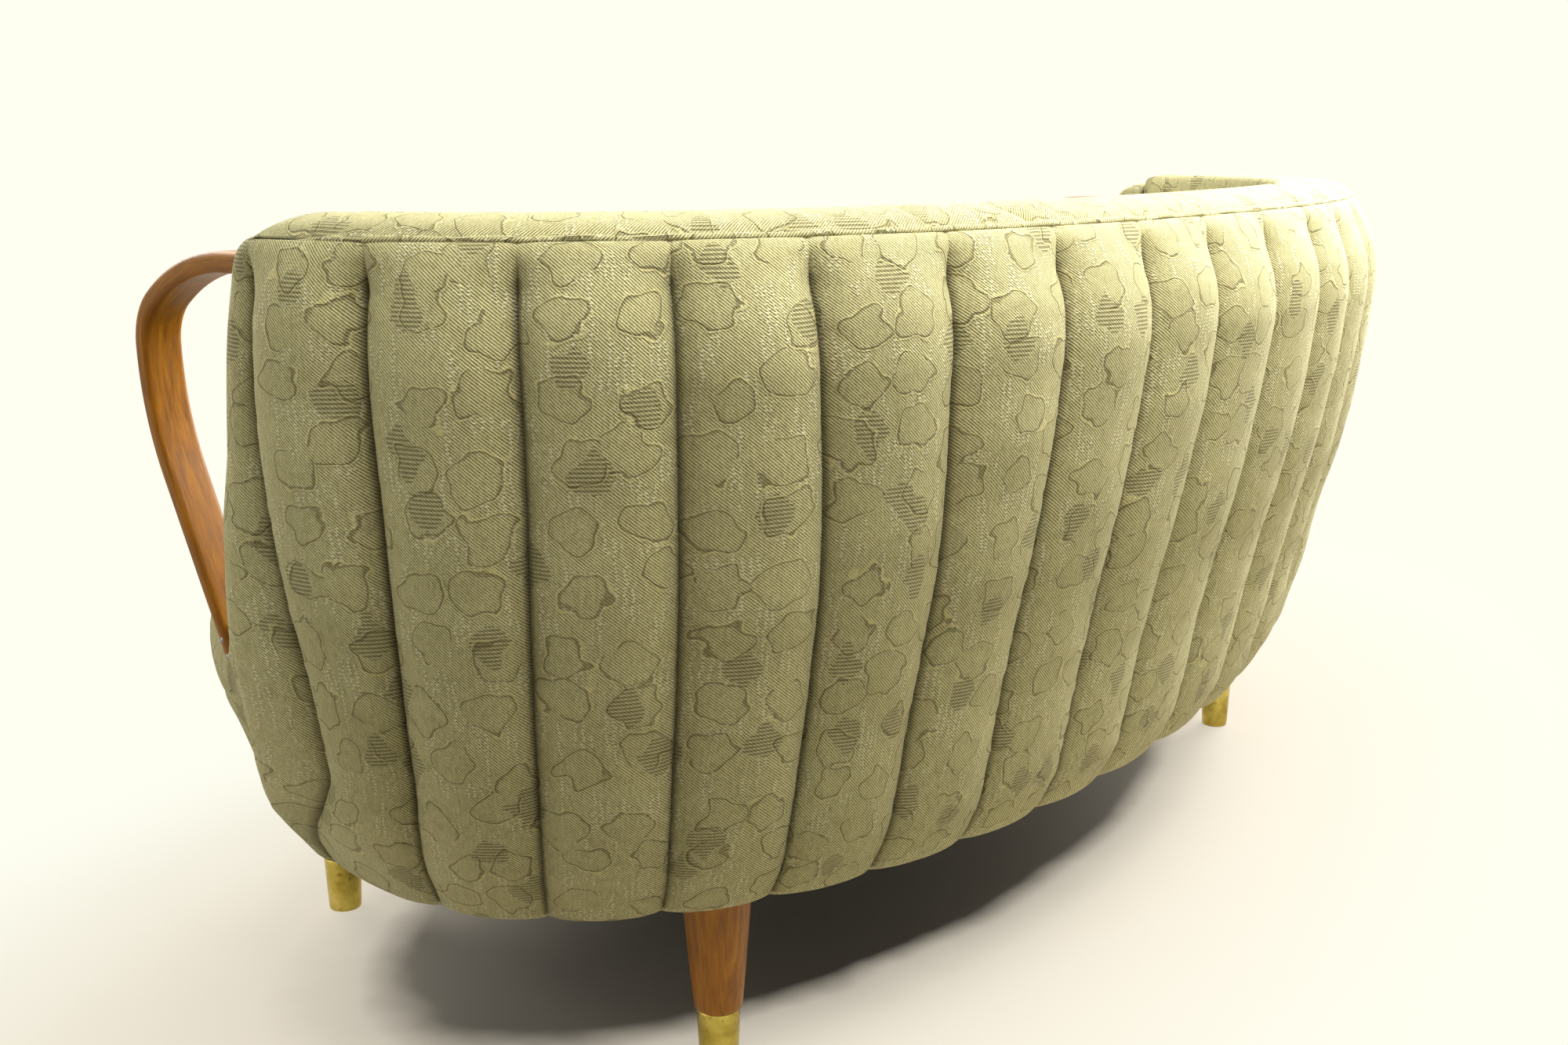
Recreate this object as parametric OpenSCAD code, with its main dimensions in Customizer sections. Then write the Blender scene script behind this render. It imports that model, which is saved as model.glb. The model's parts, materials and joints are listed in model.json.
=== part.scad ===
// Curved sofa with a channelled wrap-round back, bent wooden arms and turned legs.
// The front of the sofa faces -Y, the floor is z = 0, and the sofa is symmetric about x = 0.
// Places on the back are given as a distance s along the top seam from the centre of the back,
// a distance out from that seam (negative is towards the sitter) and a height z.

/* [Back plan] */
// Length of the top seam along the curve, wing tip to wing tip
seam_length = 2170; // [1900:10:2300]
// Angle that the plan turns through from the centre to a wing tip
wing_turn = 94; // [86:1:96]
// Share of that turn that is spread evenly, the rest gathers towards the tips
even_turn_share = 0.28; // [0.2:0.01:0.4]
// Thickness of the wings at their rounded ends
wing_thickness = 100; // [92:1:112]

/* [Back form] */
// Height of the top seam
seam_height = 750; // [700:5:800]
// Height of the hem at the foot of the outer back
hem_height = 170; // [150:5:190]
// How far the shoulder stands out past the top seam
shoulder_out = 25; // [18:1:28]
// How far the shoulder stands out past the seam at the wing tips
tip_shoulder_out = 12; // [8:1:16]
// Height over which the shoulder rounds over to the seam
shoulder_drop = 46; // [30:1:60]
// How far the hem is set in from the shoulder at the centre of the back
hem_inset = 110; // [100:1:118]
// How far the hem is set in from the shoulder at the wing tips
tip_inset = 115; // [105:1:120]
// Depth of the sewn grooves between the channels
groove_depth = 20; // [10:1:22]
// Thickness of the padded outer cover
cover_thickness = 26; // [22:1:30]
// Height of the crowned top of the back pads above the seam
crown_height = 19; // [12:1:26]
// How much deeper the back pads are at seat level than at the top
pad_lean = 65; // [50:1:70]
// Width over which the ends of the back pads draw in to their notches
notch_width = 58; // [40:1:80]
// Half the length of the centre back pad along the seam
centre_pad_half = 397; // [360:1:420]
// How far the wing ends sweep forward from the top seam down to the hem
wing_sweep = 75; // [60:1:80]

/* [Seat] */
// Half the width of the seat across its rounded front corners
seat_half_width = 818; // [812:1:822]
// Depth of the seat in front of the wings
seat_reach = 500; // [490:1:510]
// How squarely the front corners turn
corner_power = 2; // [1.9:0.1:2.1]
// Depth of the shallow hollow along the front edge
front_hollow = 120; // [100:1:130]
// Height of the underside of the seat pad
deck_height = 333; // [325:1:340]
// Height of the seam round the top edge of the seat pad
seat_edge_height = 412; // [400:1:425]
// Height of the crown of the seat pad above that edge
seat_crown = 38; // [20:1:50]
// Thickness of the padded front border
border_thickness = 18; // [14:1:22]

/* [Arms] */
// Width of the bent arm bands
arm_width = 39; // [32:1:44]
// Thickness of the arm bands at the wing
arm_thickness = 18; // [15:1:19]
// Thickness of the arm bands at the foot
arm_foot_thickness = 14; // [12:1:16]
// Length of the straight run of the arm forward of the wing tip
arm_lead = 105; // [98:1:110]
// How far the arm lies inboard of the middle of the wing
arm_inset = 8; // [6:1:10]
// Height of the top face of the arm where it leaves the wing
arm_height = 734; // [728:1:736]
// Outer radius of the first easy bend
lead_radius = 200; // [180:5:220]
// Angle of the first easy bend
lead_turn = 36; // [32:1:38]
// Outer radius of the main bend
bend_radius = 60; // [54:1:66]
// Angle of the main bend
bend_turn = 54; // [52:1:56]
// Outer radius of the long sweep below the main bend
sweep_radius = 258; // [248:1:268]
// Angle of the long sweep
sweep_turn = 27; // [26:1:28]

/* [Legs] */
// Radius of the leg where it meets the frame
leg_top_radius = 32.5; // [28:0.5:35]
// Radius of the leg just above the brass ferrule
leg_ankle_radius = 21.8; // [20:0.2:24]
// Height of the brass ferrules
ferrule_height = 61; // [50:1:70]
// Outer radius of the ferrule at its upper rim
ferrule_top_radius = 19.8; // [18:0.2:20]
// Outer radius of the ferrule at the floor
ferrule_foot_radius = 17.2; // [15:0.2:18]
// Wall of the ferrule
ferrule_wall = 1.6; // [1.2:0.1:2]
// Radius of the tenon on top of the leg
tenon_radius = 14; // [11:0.5:16]
// Place of the rear legs along the back
rear_leg_place = 667; // [600:1:720]
// Place of the front legs, sideways from the centre
front_leg_x = 548; // [530:1:570]
// Place of the front legs, forward of the wing tips
front_leg_reach = 311; // [300:1:320]

/* [Frame] */
// Height of the underside of the seat frame
frame_base = 190; // [186:1:196]
// Height of the seat rails
rail_height = 72; // [60:1:80]
// Height of the front rail, taller to carry the front edge of the seat
front_rail_height = 100; // [90:1:110]
// Thickness of the front rail
front_rail_thickness = 35; // [28:1:40]
// Thickness of the rear rail
rear_rail_thickness = 34; // [30:1:40]
// Height of the top rail
top_rail_height = 45; // [35:1:55]
// Thickness of the top rail
top_rail_thickness = 38; // [30:1:42]
// Width of the back posts along the curve
post_width = 40; // [30:1:50]
// Number of back posts between the wing posts
post_count = 6; // [4:2:8]
// Height of the lower back rail
tack_rail_height = 40; // [30:1:50]
// Width of the cross rails, which pass between the springs
cross_rail_width = 34; // [28:1:35]
// Width of the webbing straps
strap_width = 50; // [40:1:60]
// Thickness of the webbing straps
strap_thickness = 2; // [1.5:0.1:3]
// Outer radius of the seat springs at their ends
spring_radius = 38; // [30:1:42]
// Distance between springs
spring_pitch = 112; // [100:1:130]
// Thickness of the spring wire
spring_wire = 4; // [3:0.5:5]

/* [Hidden] */

// Clearance between a soft piece and its neighbour
soft_gap = 0.5;
// Radial clearance of a wooden or metal piece in its seat
seat_gap = 0.1;
// How far a cutting tool runs past what it cuts
overrun = 5;
// Thickness of the outer cover at the hem
hem_thickness = 10;
// Space between the frame and the padding over it
padding_gap = 4;
// Space between the posts and the outer cover
post_gap = 12;
// Thickness of the hessian over the springs and of the dust cover
cloth_thickness = 1.2;
// Height of the domed top over each rounded wing end
dome_height = 5;
// Rounding of the long edges of the arm bands
edge_round = 3.5;
// Height of the foot of the arm above the underside of the seat pad
arm_foot_gap = 38;
// Size of the block that the foot of the arm is screwed to
arm_block_width = 84;
arm_block_step = 28;
arm_block_length = 70;
arm_block_back = 18;
arm_block_drop = 10;
// Radius and length of the wood screws
screw_radius = 2.5;
screw_length = 45;

half_seam = seam_length / 2;
end_radius = wing_thickness / 2;
end_arc = PI * end_radius;
shoulder_height = seam_height - shoulder_drop;

// Height shares and inset shares of the outer back, at the centre and at the wing tips
centre_inset_shares = [[0, 1], [0.03, 0.86], [0.09, 0.66], [0.18, 0.49], [0.32, 0.33], [0.5, 0.18],
    [0.7, 0.06], [0.86, 0], [1, 0]];
tip_inset_shares = [[0, 1], [0.03, 0.92], [0.07, 0.78], [0.1, 0.66], [0.18, 0.42], [0.29, 0.2],
    [0.37, 0.1], [0.5, 0.02], [0.6, 0], [1, 0]];
// Places of the hand-sewn grooves from the centre of the back to a wing tip
groove_shares = [0, 0.124, 0.235, 0.35, 0.463, 0.583, 0.682, 0.785, 0.892, 1];
// Height shares of the rings on the outer face and on the inner face of the outer back
outer_level_shares = [1, 0.98, 0.94, 0.82, 0.58, 0.36, 0.2, 0.08, 0];
inner_level_shares = [0.66, 0.32, 0.1];
// Places of the columns across one channel, and across a channel that rounds a wing end
channel_cut_shares = [0, 0.2, 0.5, 0.8];
end_cut_shares = [0, 0.25, 0.5, 0.75];

function mix(a, b, t) = a + (b - a) * t;
function clamp(v, low, high) = max(low, min(high, v));
function side(v) = v < 0 ? -1 : 1;
function signed_power(v, p) = side(v) * pow(abs(v), p);
function steps(n) = [for (i = [0:n]) i / n];
function lift(p, z) = [p[0], p[1], z];
function unit(v) = v / norm(v);

// Plan of the top seam, found by adding short steps along its turning direction
plan_steps = 60;
plan_step = half_seam / plan_steps;
function turn_at(s) = let (t = min(abs(s) / half_seam, 1))
    wing_turn * mix(t * t * t, t, even_turn_share);
half_plan = [for (i = 0, p = [0, 0]; i <= plan_steps;
    p = p + plan_step * [cos(turn_at((i + 1 / 2) * plan_step)), -sin(turn_at((i + 1 / 2) * plan_step))],
    i = i + 1) [i * plan_step, p[0], p[1]]];
seam_x = [for (k = half_plan) [k[0], k[1]]];
seam_y = [for (k = half_plan) [k[0], k[2]]];
tip_y = lookup(half_seam, seam_y);
// The seat's rounded front is centred this far in front of the wing tips
seat_start = 22;
seat_back_y = tip_y - seat_start;

// Front outline of the seat, where a is 0 at the centre of the front and 90 at the side
hollow_share = 0.72;
function front_at(a) = let (x = seat_half_width * signed_power(sin(a), 2 / corner_power))
    [x, seat_back_y - seat_reach * pow(cos(a), 2 / corner_power)
        + front_hollow * max(0, 1 - pow(x / (hollow_share * seat_half_width), 2))];
probe_angle = 0.5;
function front_out(a) = let (d = unit(front_at(a + probe_angle) - front_at(a - probe_angle)))
    [d[1], -d[0]];
// The front outline stops beside the rounded wing ends
front_end = 78;
front_steps = 44;
front_angles = [for (t = steps(front_steps)) mix(-front_end, front_end, t)];
border_bulge = 5;
front_most = min([for (a = front_angles) front_at(a)[1]]) - border_bulge;
crest_s = half_seam * groove_shares[1] / 2;
back_most = lookup(crest_s, seam_y) + shoulder_out * cos(turn_at(crest_s));
// Moves the plan so that the sofa's box is centred on the origin
y_shift = -(back_most + front_most) / 2;

function seam_at(s) = let (past = max(0, abs(s) - half_seam))
    [side(s) * lookup(abs(s), seam_x), lookup(abs(s), seam_y)] + side(s) * past * along_dir(s);
function out_dir(s) = [side(s) * sin(turn_at(s)), cos(turn_at(s))];
function along_dir(s) = [cos(turn_at(s)), -side(s) * sin(turn_at(s))];
function plan(s, out) = seam_at(s) + out * out_dir(s) + [0, y_shift];
function front(a, out) = front_at(a) + out * front_out(a) + [0, y_shift];

// Form of the outer back
function level(z) = (z - hem_height) / (seam_height - hem_height);
function height_of(share) = mix(hem_height, seam_height, share);
function tipness(s) = pow(min(abs(s) / half_seam, 1), 2);
function inset_at(z, s) = mix(hem_inset * lookup(level(z), centre_inset_shares),
    tip_inset * lookup(level(z), tip_inset_shares), tipness(s));
function shoulder_at(z, s) = let (t = clamp((z - shoulder_height) / shoulder_drop, 0, 1))
    mix(shoulder_out, tip_shoulder_out, tipness(s)) * sqrt(1 - t * t);
function back_out(z, s) = shoulder_at(z, s) - inset_at(z, s);
// Places near the wing ends sweep forward towards the floor
sweep_power = 6;
function swept(s, z) = s + side(s) * wing_sweep * pow(min(abs(s) / half_seam, 1), sweep_power)
    * (1 - level(z));

// Above the seat the cover wraps the wing ends to their inner side, below it stops at the border
low_wrap_turn = 60;
low_wrap_share = 0;
full_wrap_share = 0.4;
function wrap_turn(z) = mix(low_wrap_turn, 180,
    clamp((level(z) - low_wrap_share) / (full_wrap_share - low_wrap_share), 0, 1));

// A point on the back at distance u along the wrapped cover, depth below its crest surface
function wrap(u, z, depth) = let (
        s = swept(clamp(u, -half_seam, half_seam), z),
        past = max(0, abs(u) - half_seam),
        a = past / end_arc * wrap_turn(z),
        inset = inset_at(z, s),
        middle = seam_at(s) - (end_radius + inset) * out_dir(s),
        r = end_radius + shoulder_at(z, s) * (1 + cos(a)) / 2 - depth,
        p = middle + r * (out_dir(s) * cos(a) + side(u) * along_dir(s) * sin(a)))
    lift(p + [0, y_shift], z);

// Relief of the channels, deepest at the grooves and fading out just under the top seam
groove_fade = 42;
seam_fade_share = 0.2;
hem_fade_share = 0.55;
function fade(z) = let (down = clamp((seam_height - z) / groove_fade, 0, 1),
        up = clamp((z - hem_height) / groove_fade, 0, 1))
    mix(seam_fade_share, 1, down) * mix(hem_fade_share, 1, up);
grooves = concat([-half_seam - end_arc], [for (k = [len(groove_shares) - 1:-1:1]) -half_seam * groove_shares[k]],
    half_seam * groove_shares, [half_seam + end_arc]);
channel_count = len(grooves) - 1;
function channel_of(u) = max([for (k = [0:channel_count - 1]) if (u >= grooves[k]) k]);
function channel_dip(u, z) = let (k = channel_of(u),
        w = abs(2 * (u - grooves[k]) / (grooves[k + 1] - grooves[k]) - 1))
    groove_depth * fade(z) * w * w * w;
thin_share = 0.33;
function cover_depth(z) = mix(hem_thickness, cover_thickness, clamp(level(z) / thin_share, 0, 1));

function channel_cuts(k) = (k < 1 || k > channel_count - 2) ? end_cut_shares : channel_cut_shares;
back_columns = concat([for (k = [0:channel_count - 1]) for (f = channel_cuts(k))
    mix(grooves[k], grooves[k + 1], f)], [half_seam + end_arc]);

// The top edge closes over the wing ends and slopes in to the frame elsewhere
lip_drop = 3;
rim_drop = 12;
core_radius = 1;
function lip(u) = let (past = abs(u) - half_seam)
    past > 0 ? wrap(u, seam_height, 0) * core_radius / end_radius
        + (1 - core_radius / end_radius) * wing_core(u) + [0, 0, dome_height]
    : wrap(u, seam_height - lip_drop, cover_thickness / 2);
function wing_core(u) = wrap(side(u) * half_seam, seam_height, end_radius);
function outer_line(u) = [for (v = outer_level_shares) let (z = height_of(v))
    wrap(u, z, channel_dip(u, z))];
function inner_line(u) = concat([lip(u), wrap(u, seam_height - rim_drop, cover_thickness)],
    [for (v = inner_level_shares) let (z = height_of(v)) wrap(u, z, cover_depth(z))]);

// A closed skin between an outer line and an inner line that both run from top to bottom
function cap(i, j, n, m, base, flip) = (i >= n - 1 && j >= m - 1) ? [] :
    let (go_outer = (j >= m - 1) || (i < n - 1 && (i + 1) / (n - 1) <= (j + 1) / (m - 1)),
        a = base + i,
        b = base + n + m - 1 - j,
        c = go_outer ? a + 1 : b - 1,
        f = flip ? [a, b, c] : [a, c, b])
    concat([f], go_outer ? cap(i + 1, j, n, m, base, flip) : cap(i, j + 1, n, m, base, flip));
function reverse(list) = [for (i = [len(list) - 1:-1:0]) list[i]];
module soft_loft(outers, inners) {
    n = len(outers[0]);
    m = len(inners[0]);
    ring = n + m;
    count = len(outers);
    points = [for (k = [0:count - 1]) each concat(outers[k], reverse(inners[k]))];
    walls = [for (k = [0:count - 2]) for (i = [0:ring - 1])
        let (a = k * ring + i, b = k * ring + (i + 1) % ring)
        each [[a, b, b + ring], [a, b + ring, a + ring]]];
    ends = concat(cap(0, 0, n, m, 0, true), cap(0, 0, n, m, (count - 1) * ring, false));
    polyhedron(points = points, faces = concat(walls, ends), convexity = 8);
}

// Lines of the frame, as distances out from the seam
rail_line_gap = 6;
function rear_rail_out(s) = back_out(frame_base, s) - hem_thickness - rail_line_gap;
frame_face = cover_thickness + top_rail_thickness;
seat_lean = 50;
pad_foot_height = 400;
function frame_in(z) = -frame_face
    - seat_lean * max(0, (seam_height - rim_drop - z) / (seam_height - pad_foot_height));

// Back pads: a crowned top that hooks over the top rail, and a leaning front
skin_gap = 1.6;
pad_front = wing_thickness + skin_gap;
web_space = strap_thickness + padding_gap;
tip_lean_share = 0.3;
lean_power = 4;
function lean_at(s) = pad_lean * mix(1, tip_lean_share, pow(min(abs(s) / half_seam, 1), lean_power));
// Out shares and rise shares of the crowned top, then height shares and lean shares of the front
pad_crown_shares = [[0.1, 0.62], [0.28, 0.94], [0.5, 1], [0.74, 0.82]];
pad_brow_share = 0.93;
pad_front_shares = [[0.16, 0], [0.4, 0.3], [0.64, 0.66], [0.86, 0.95], [1, 1]];
end_share = 0.2;
function pad_outer(s, e) = let (lean = lean_at(s),
        c = crown_height * mix(end_share, 1, e),
        f = groove_depth * (1 - end_share) * (e - 1),
        p = function(out, z) lift(plan(swept(s, z), out), z))
    concat([p(-skin_gap, seam_height + skin_gap)],
        [for (v = pad_crown_shares) p(-wing_thickness * v[0], seam_height + c * v[1])],
        [p(-wing_thickness * pad_brow_share - f, seam_height + c * pad_crown_shares[0][0])],
        [for (v = pad_front_shares)
            p(-pad_front - lean * v[1] - f, mix(seam_height, pad_foot_height, v[0]))]);
function pad_inner(s) = let (p = function(out, z) lift(plan(swept(s, z), out), z),
        rim = seam_height - rim_drop + skin_gap)
    [p(-2 * skin_gap, seam_height),
        p(-cover_thickness - skin_gap, rim),
        p(-frame_face - skin_gap, rim),
        p(frame_in(rim - shoulder_drop) - web_space, rim - shoulder_drop),
        p(frame_in(pad_foot_height) - web_space, pad_foot_height)];
pad_steps = 20;
pad_gap = 1;
pad_ends = [-half_seam, -centre_pad_half, centre_pad_half, half_seam];
function pad_columns(k) = let (a = pad_ends[k] + pad_gap, b = pad_ends[k + 1] - pad_gap)
    [for (t = steps(pad_steps)) mix(b, a, (1 - cos(180 * t)) / 2)];
function ease(d) = let (t = clamp(1 - d / notch_width, 0, 1)) 1 - t * t;
module back_pad(k) {
    columns = pad_columns(k);
    last = len(columns) - 1;
    outers = [for (s = columns) pad_outer(s, ease(min(columns[0] - s, s - columns[last])))];
    inners = [for (s = columns) pad_inner(s)];
    color("#a59b78") difference() {
        soft_loft(outers, inners);
        for (m = [0, 1]) mirror([m, 0, 0]) arm_cutter();
    }
}

module outer_back() {
    color("#9b926c") difference() {
        soft_loft([for (u = back_columns) outer_line(u)], [for (u = back_columns) inner_line(u)]);
        for (m = [0, 1]) mirror([m, 0, 0]) arm_cutter();
    }
}

// Seat pad: a crowned form on the outline of the seat
seat_gap_back = 2.5;
seat_back_steps = 30;
seat_ring_shares = [1, 0.985, 0.94, 0.85, 0.66, 0.4];
seat_side_shares = [0.72, 0.3];
seat_side_bulge = 5;
notch_x = 705;
seat_line_back = [for (t = steps(seat_back_steps)) let (s = mix(half_seam, -half_seam, t))
    plan(swept(s, pad_foot_height), -pad_front - lean_at(s) - seat_gap_back)];
seat_line_front = [for (a = front_angles) front(a, 0)];
seat_line = concat(seat_line_front, [[notch_x, seat_line_front[front_steps][1]]],
    seat_line_back, [[-notch_x, seat_line_front[0][1]]]);
seat_middle = [0, seat_back_y + y_shift];
function shrink(p, k) = seat_middle + (p - seat_middle) * k;
function crown_share(k) = 1 - pow(k, 3);
module seat_pad() {
    n = len(seat_line);
    tops = [for (k = seat_ring_shares) [for (p = seat_line)
        lift(shrink(p, k), seat_edge_height + seat_crown * crown_share(k))]];
    sides = [for (v = seat_side_shares) [for (p = seat_line)
        lift(shrink(p, 1 + seat_side_bulge / seat_half_width), mix(deck_height, seat_edge_height, v))]];
    base = [[for (p = seat_line) lift(p, deck_height)]];
    rings = concat(reverse(tops), sides, base);
    count = len(rings);
    points = concat([lift(seat_middle, seat_edge_height + seat_crown)], [for (r = rings) each r],
        [lift(seat_middle, deck_height)]);
    last = len(points) - 1;
    faces = concat(
        [for (i = [0:n - 1]) [0, 1 + (i + 1) % n, 1 + i]],
        [for (k = [0:count - 2]) for (i = [0:n - 1])
            let (a = 1 + k * n + i, b = 1 + k * n + (i + 1) % n)
            each [[a, b, b + n], [a, b + n, a + n]]],
        [for (i = [0:n - 1]) [last, last - n + i, last - n + (i + 1) % n]]);
    color("#a59b78") difference() {
        polyhedron(points = points, faces = faces, convexity = 6);
        for (m = [0, 1]) mirror([m, 0, 0]) {
            arm_cutter();
            block_cutter();
        }
    }
}

// Front border: a padded band from wing to wing under the seat pad
border_top_gap = 0.5;
border_top = deck_height - border_top_gap;
border_front_inset = 16;
border_side_inset = 70;
border_inset_power = 5;
function border_hem_inset(a) = mix(border_front_inset, border_side_inset,
    pow(abs(sin(a)), border_inset_power));
function border_z(v) = mix(hem_height, border_top, v);
// Height shares and inset shares of the outer face of the border, from the top down
border_profile_shares = [[1, 0.04], [0.86, 0.02], [0.62, 0.28], [0.34, 0.58], [0.12, 0.84], [0, 1]];
border_inner_shares = [1, 0.5, 0.14];
function border_inset(v, a) = border_hem_inset(a) * lookup(v, border_profile_shares);
module front_border() {
    angles = reverse(front_angles);
    outers = [for (a = angles) [for (p = border_profile_shares)
        lift(front(a, -border_inset(p[0], a)), border_z(p[0]))]];
    inners = [for (a = angles) [for (v = border_inner_shares)
        lift(front(a, -border_inset(v, a) - mix(hem_thickness, border_thickness, v)), border_z(v))]];
    color("#a59b78") soft_loft(outers, inners);
}

// Bent arms, each drawn in the upright plane that continues its wing: d runs forward from the tip
arm_root = 32;
rail_crest = frame_base + front_rail_height;
block_top = seat_edge_height - arm_block_drop;
arm_foot_height = deck_height + arm_foot_gap;
lead_end = [arm_lead + lead_radius * sin(lead_turn), arm_height - lead_radius * (1 - cos(lead_turn))];
bend_end_angle = lead_turn + bend_turn;
bend_end = lead_end + bend_radius * [sin(bend_end_angle) - sin(lead_turn),
    cos(bend_end_angle) - cos(lead_turn)];
sweep_end_angle = bend_end_angle + sweep_turn;
sweep_end = bend_end + sweep_radius * [sin(sweep_end_angle) - sin(bend_end_angle),
    cos(sweep_end_angle) - cos(bend_end_angle)];
foot_run = (sweep_end[1] - arm_foot_height) / sin(sweep_end_angle);
foot_end = sweep_end + foot_run * [cos(sweep_end_angle), -sin(sweep_end_angle)];
arc_steps = 12;
// Each entry is a place on the upper face and the downward turn of the band there
arm_path = concat(
    [[[-arm_root, arm_height], 0], [[arm_lead, arm_height], 0]],
    [for (i = [1:arc_steps / 3]) let (a = lead_turn * i / (arc_steps / 3))
        [[arm_lead + lead_radius * sin(a), arm_height - lead_radius * (1 - cos(a))], a]],
    [for (i = [1:arc_steps]) let (a = lead_turn + bend_turn * i / arc_steps)
        [lead_end + bend_radius * [sin(a) - sin(lead_turn), cos(a) - cos(lead_turn)], a]],
    [for (i = [1:arc_steps / 2]) let (a = bend_end_angle + sweep_turn * i / (arc_steps / 2))
        [bend_end + sweep_radius * [sin(a) - sin(bend_end_angle), cos(a) - cos(bend_end_angle)], a]],
    [[(sweep_end + foot_end) / 2, sweep_end_angle], [foot_end, sweep_end_angle]]);
function path_thickness(k) = mix(arm_thickness, arm_foot_thickness,
    clamp((arm_height - arm_path[k][0][1]) / (arm_height - seat_edge_height), 0, 1));
// Direction through the band, from its outer face to its inner face
function through(k) = let (a = arm_path[k][1])
    k == len(arm_path) - 1 ? [-1 / sin(a), 0] : [-sin(a), -cos(a)];
// A place beside the right-hand wing: d forward of its tip, x across the arm band, height z
function beside_wing(d, x, z) = lift(plan(half_seam, x - end_radius - arm_inset)
    + d * along_dir(half_seam), z);
function arm_ring(k, grow) = let (t = path_thickness(k) + 2 * grow,
        w = arm_width / 2 + grow,
        top = arm_path[k][0] - grow * through(k),
        e = edge_round,
        q = function(x, h) let (p = top + h * through(k)) beside_wing(p[0], x, p[1]))
    [q(w - e, 0), q(w, e), q(w, t - e), q(w - e, t), q(e - w, t), q(-w, t - e), q(-w, e), q(e - w, 0)];
module tube(rings) {
    n = len(rings[0]);
    count = len(rings);
    points = [for (r = rings) each r];
    walls = [for (k = [0:count - 2]) for (i = [0:n - 1])
        let (a = k * n + i, b = k * n + (i + 1) % n)
        each [[a, b, b + n], [a, b + n, a + n]]];
    ends = [for (i = [1:n - 2]) each [[0, i + 1, i],
        [(count - 1) * n, (count - 1) * n + i, (count - 1) * n + i + 1]]];
    polyhedron(points = points, faces = concat(walls, ends), convexity = 4);
}
// The whole arm with its clearance, as a chain of short convex pieces
speck = 0.01;
module arm_cutter() {
    for (k = [0:len(arm_path) - 2]) hull()
        for (p = concat(arm_ring(k, soft_gap), arm_ring(k + 1, soft_gap)))
            translate(p) cube(speck, center = true);
}

// Screws that hold the arm to the wing post, from above, and to its block, from behind
root_screw_places = [-arm_root / 2, arm_root / 2];
foot_screw_shares = [0.3, 0.75];
module root_screw(r, extra) {
    for (d = root_screw_places) translate(beside_wing(d, 0, arm_height - screw_length))
        cylinder(r = r, h = screw_length + extra, $fn = 24);
}
module foot_screw(r, extra) {
    for (share = foot_screw_shares) {
        z = mix(arm_foot_height, block_top, share);
        d = foot_end[0] + (z - arm_foot_height) / tan(180 - sweep_end_angle) - arm_foot_thickness / 2;
        translate(beside_wing(d, arm_width / 2, z)) rotate([0, 0, -wing_turn]) rotate([90, 0, 0])
            translate([0, 0, -extra]) cylinder(r = r, h = screw_length + extra, $fn = 24);
    }
}
module arm(m) {
    color("#b4702c") mirror([m, 0, 0]) difference() {
        tube([for (k = [0:len(arm_path) - 1]) arm_ring(k, 0)]);
        root_screw(screw_radius + seat_gap, overrun);
        foot_screw(screw_radius + seat_gap, overrun);
    }
}
module arm_blocks() {
    color("#c8a878") for (m = [0, 1]) mirror([m, 0, 0]) difference() {
        for (v = [[rail_crest, arm_block_width - arm_block_step], [deck_height, arm_block_width]])
            translate(beside_wing(foot_end[0] - arm_block_back, -arm_width / 2 - seat_gap, v[0]))
                rotate([0, 0, -wing_turn]) translate([0, -arm_block_width, 0])
                    cube([arm_block_length, v[1], block_top - v[0]]);
        foot_screw(screw_radius + seat_gap, 0);
    }
}
module block_cutter() {
    g = soft_gap;
    translate(beside_wing(foot_end[0] - arm_block_back, -arm_width / 2, rail_crest))
        rotate([0, 0, -wing_turn]) translate([-g, -arm_block_width - g, 0])
            cube([arm_block_length + 2 * g, arm_block_width + 2 * g, block_top - rail_crest + g]);
}
module arm_screws() {
    color("#8c8c88") for (m = [0, 1]) mirror([m, 0, 0]) {
        root_screw(screw_radius, 0);
        foot_screw(screw_radius, 0);
    }
}

// Legs: turned and tapered, with a tenon above and a spigot that fits the ferrule
ferrule_floor = 3;
ankle_gap = 0.4;
ankle_chamfer = 1.2;
leg_steps = 8;
leg_swell = 0.9;

function leg_radius(t) = mix(leg_ankle_radius, leg_top_radius, pow(t, leg_swell));
function ferrule_radius(z) = mix(ferrule_foot_radius, ferrule_top_radius, z / ferrule_height);
tenon_stop = 10;
tenon_length = rail_height - tenon_stop;
rear_leg = plan(rear_leg_place,
    rear_rail_out(rear_leg_place) - leg_top_radius);
front_leg = [front_leg_x, tip_y + y_shift - front_leg_reach];
leg_start = ferrule_height + ankle_gap;
module leg(p) {
    spigot = [for (z = [ferrule_floor + seat_gap, leg_start])
        [ferrule_radius(z) - ferrule_wall - seat_gap, z]];
    body = [for (t = steps(leg_steps)) [leg_radius(t), mix(leg_start + ankle_chamfer, frame_base, t)]];
    color("#b4702c") translate(p) rotate_extrude($fn = 72) polygon(concat(
        [[0, spigot[0][1]]], spigot, [[leg_ankle_radius - ankle_chamfer, leg_start]], body,
        [[tenon_radius, frame_base], [tenon_radius, frame_base + tenon_length],
            [0, frame_base + tenon_length]]));
}
ferrule_edge = 2;
round_share = 0.3;
module ferrule(p) {
    color("#a08a3c") translate(p) rotate_extrude($fn = 72) polygon([[0, 0],
        [ferrule_foot_radius - ferrule_edge, 0],
        [ferrule_foot_radius - ferrule_edge * round_share, ferrule_edge * round_share],
        [ferrule_foot_radius, ferrule_edge], [ferrule_top_radius, ferrule_height - ferrule_edge / 2],
        [ferrule_top_radius - ferrule_edge / 4, ferrule_height],
        [ferrule_top_radius - ferrule_wall, ferrule_height],
        [ferrule_radius(ferrule_floor) - ferrule_wall, ferrule_floor], [0, ferrule_floor]]);
}
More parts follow.
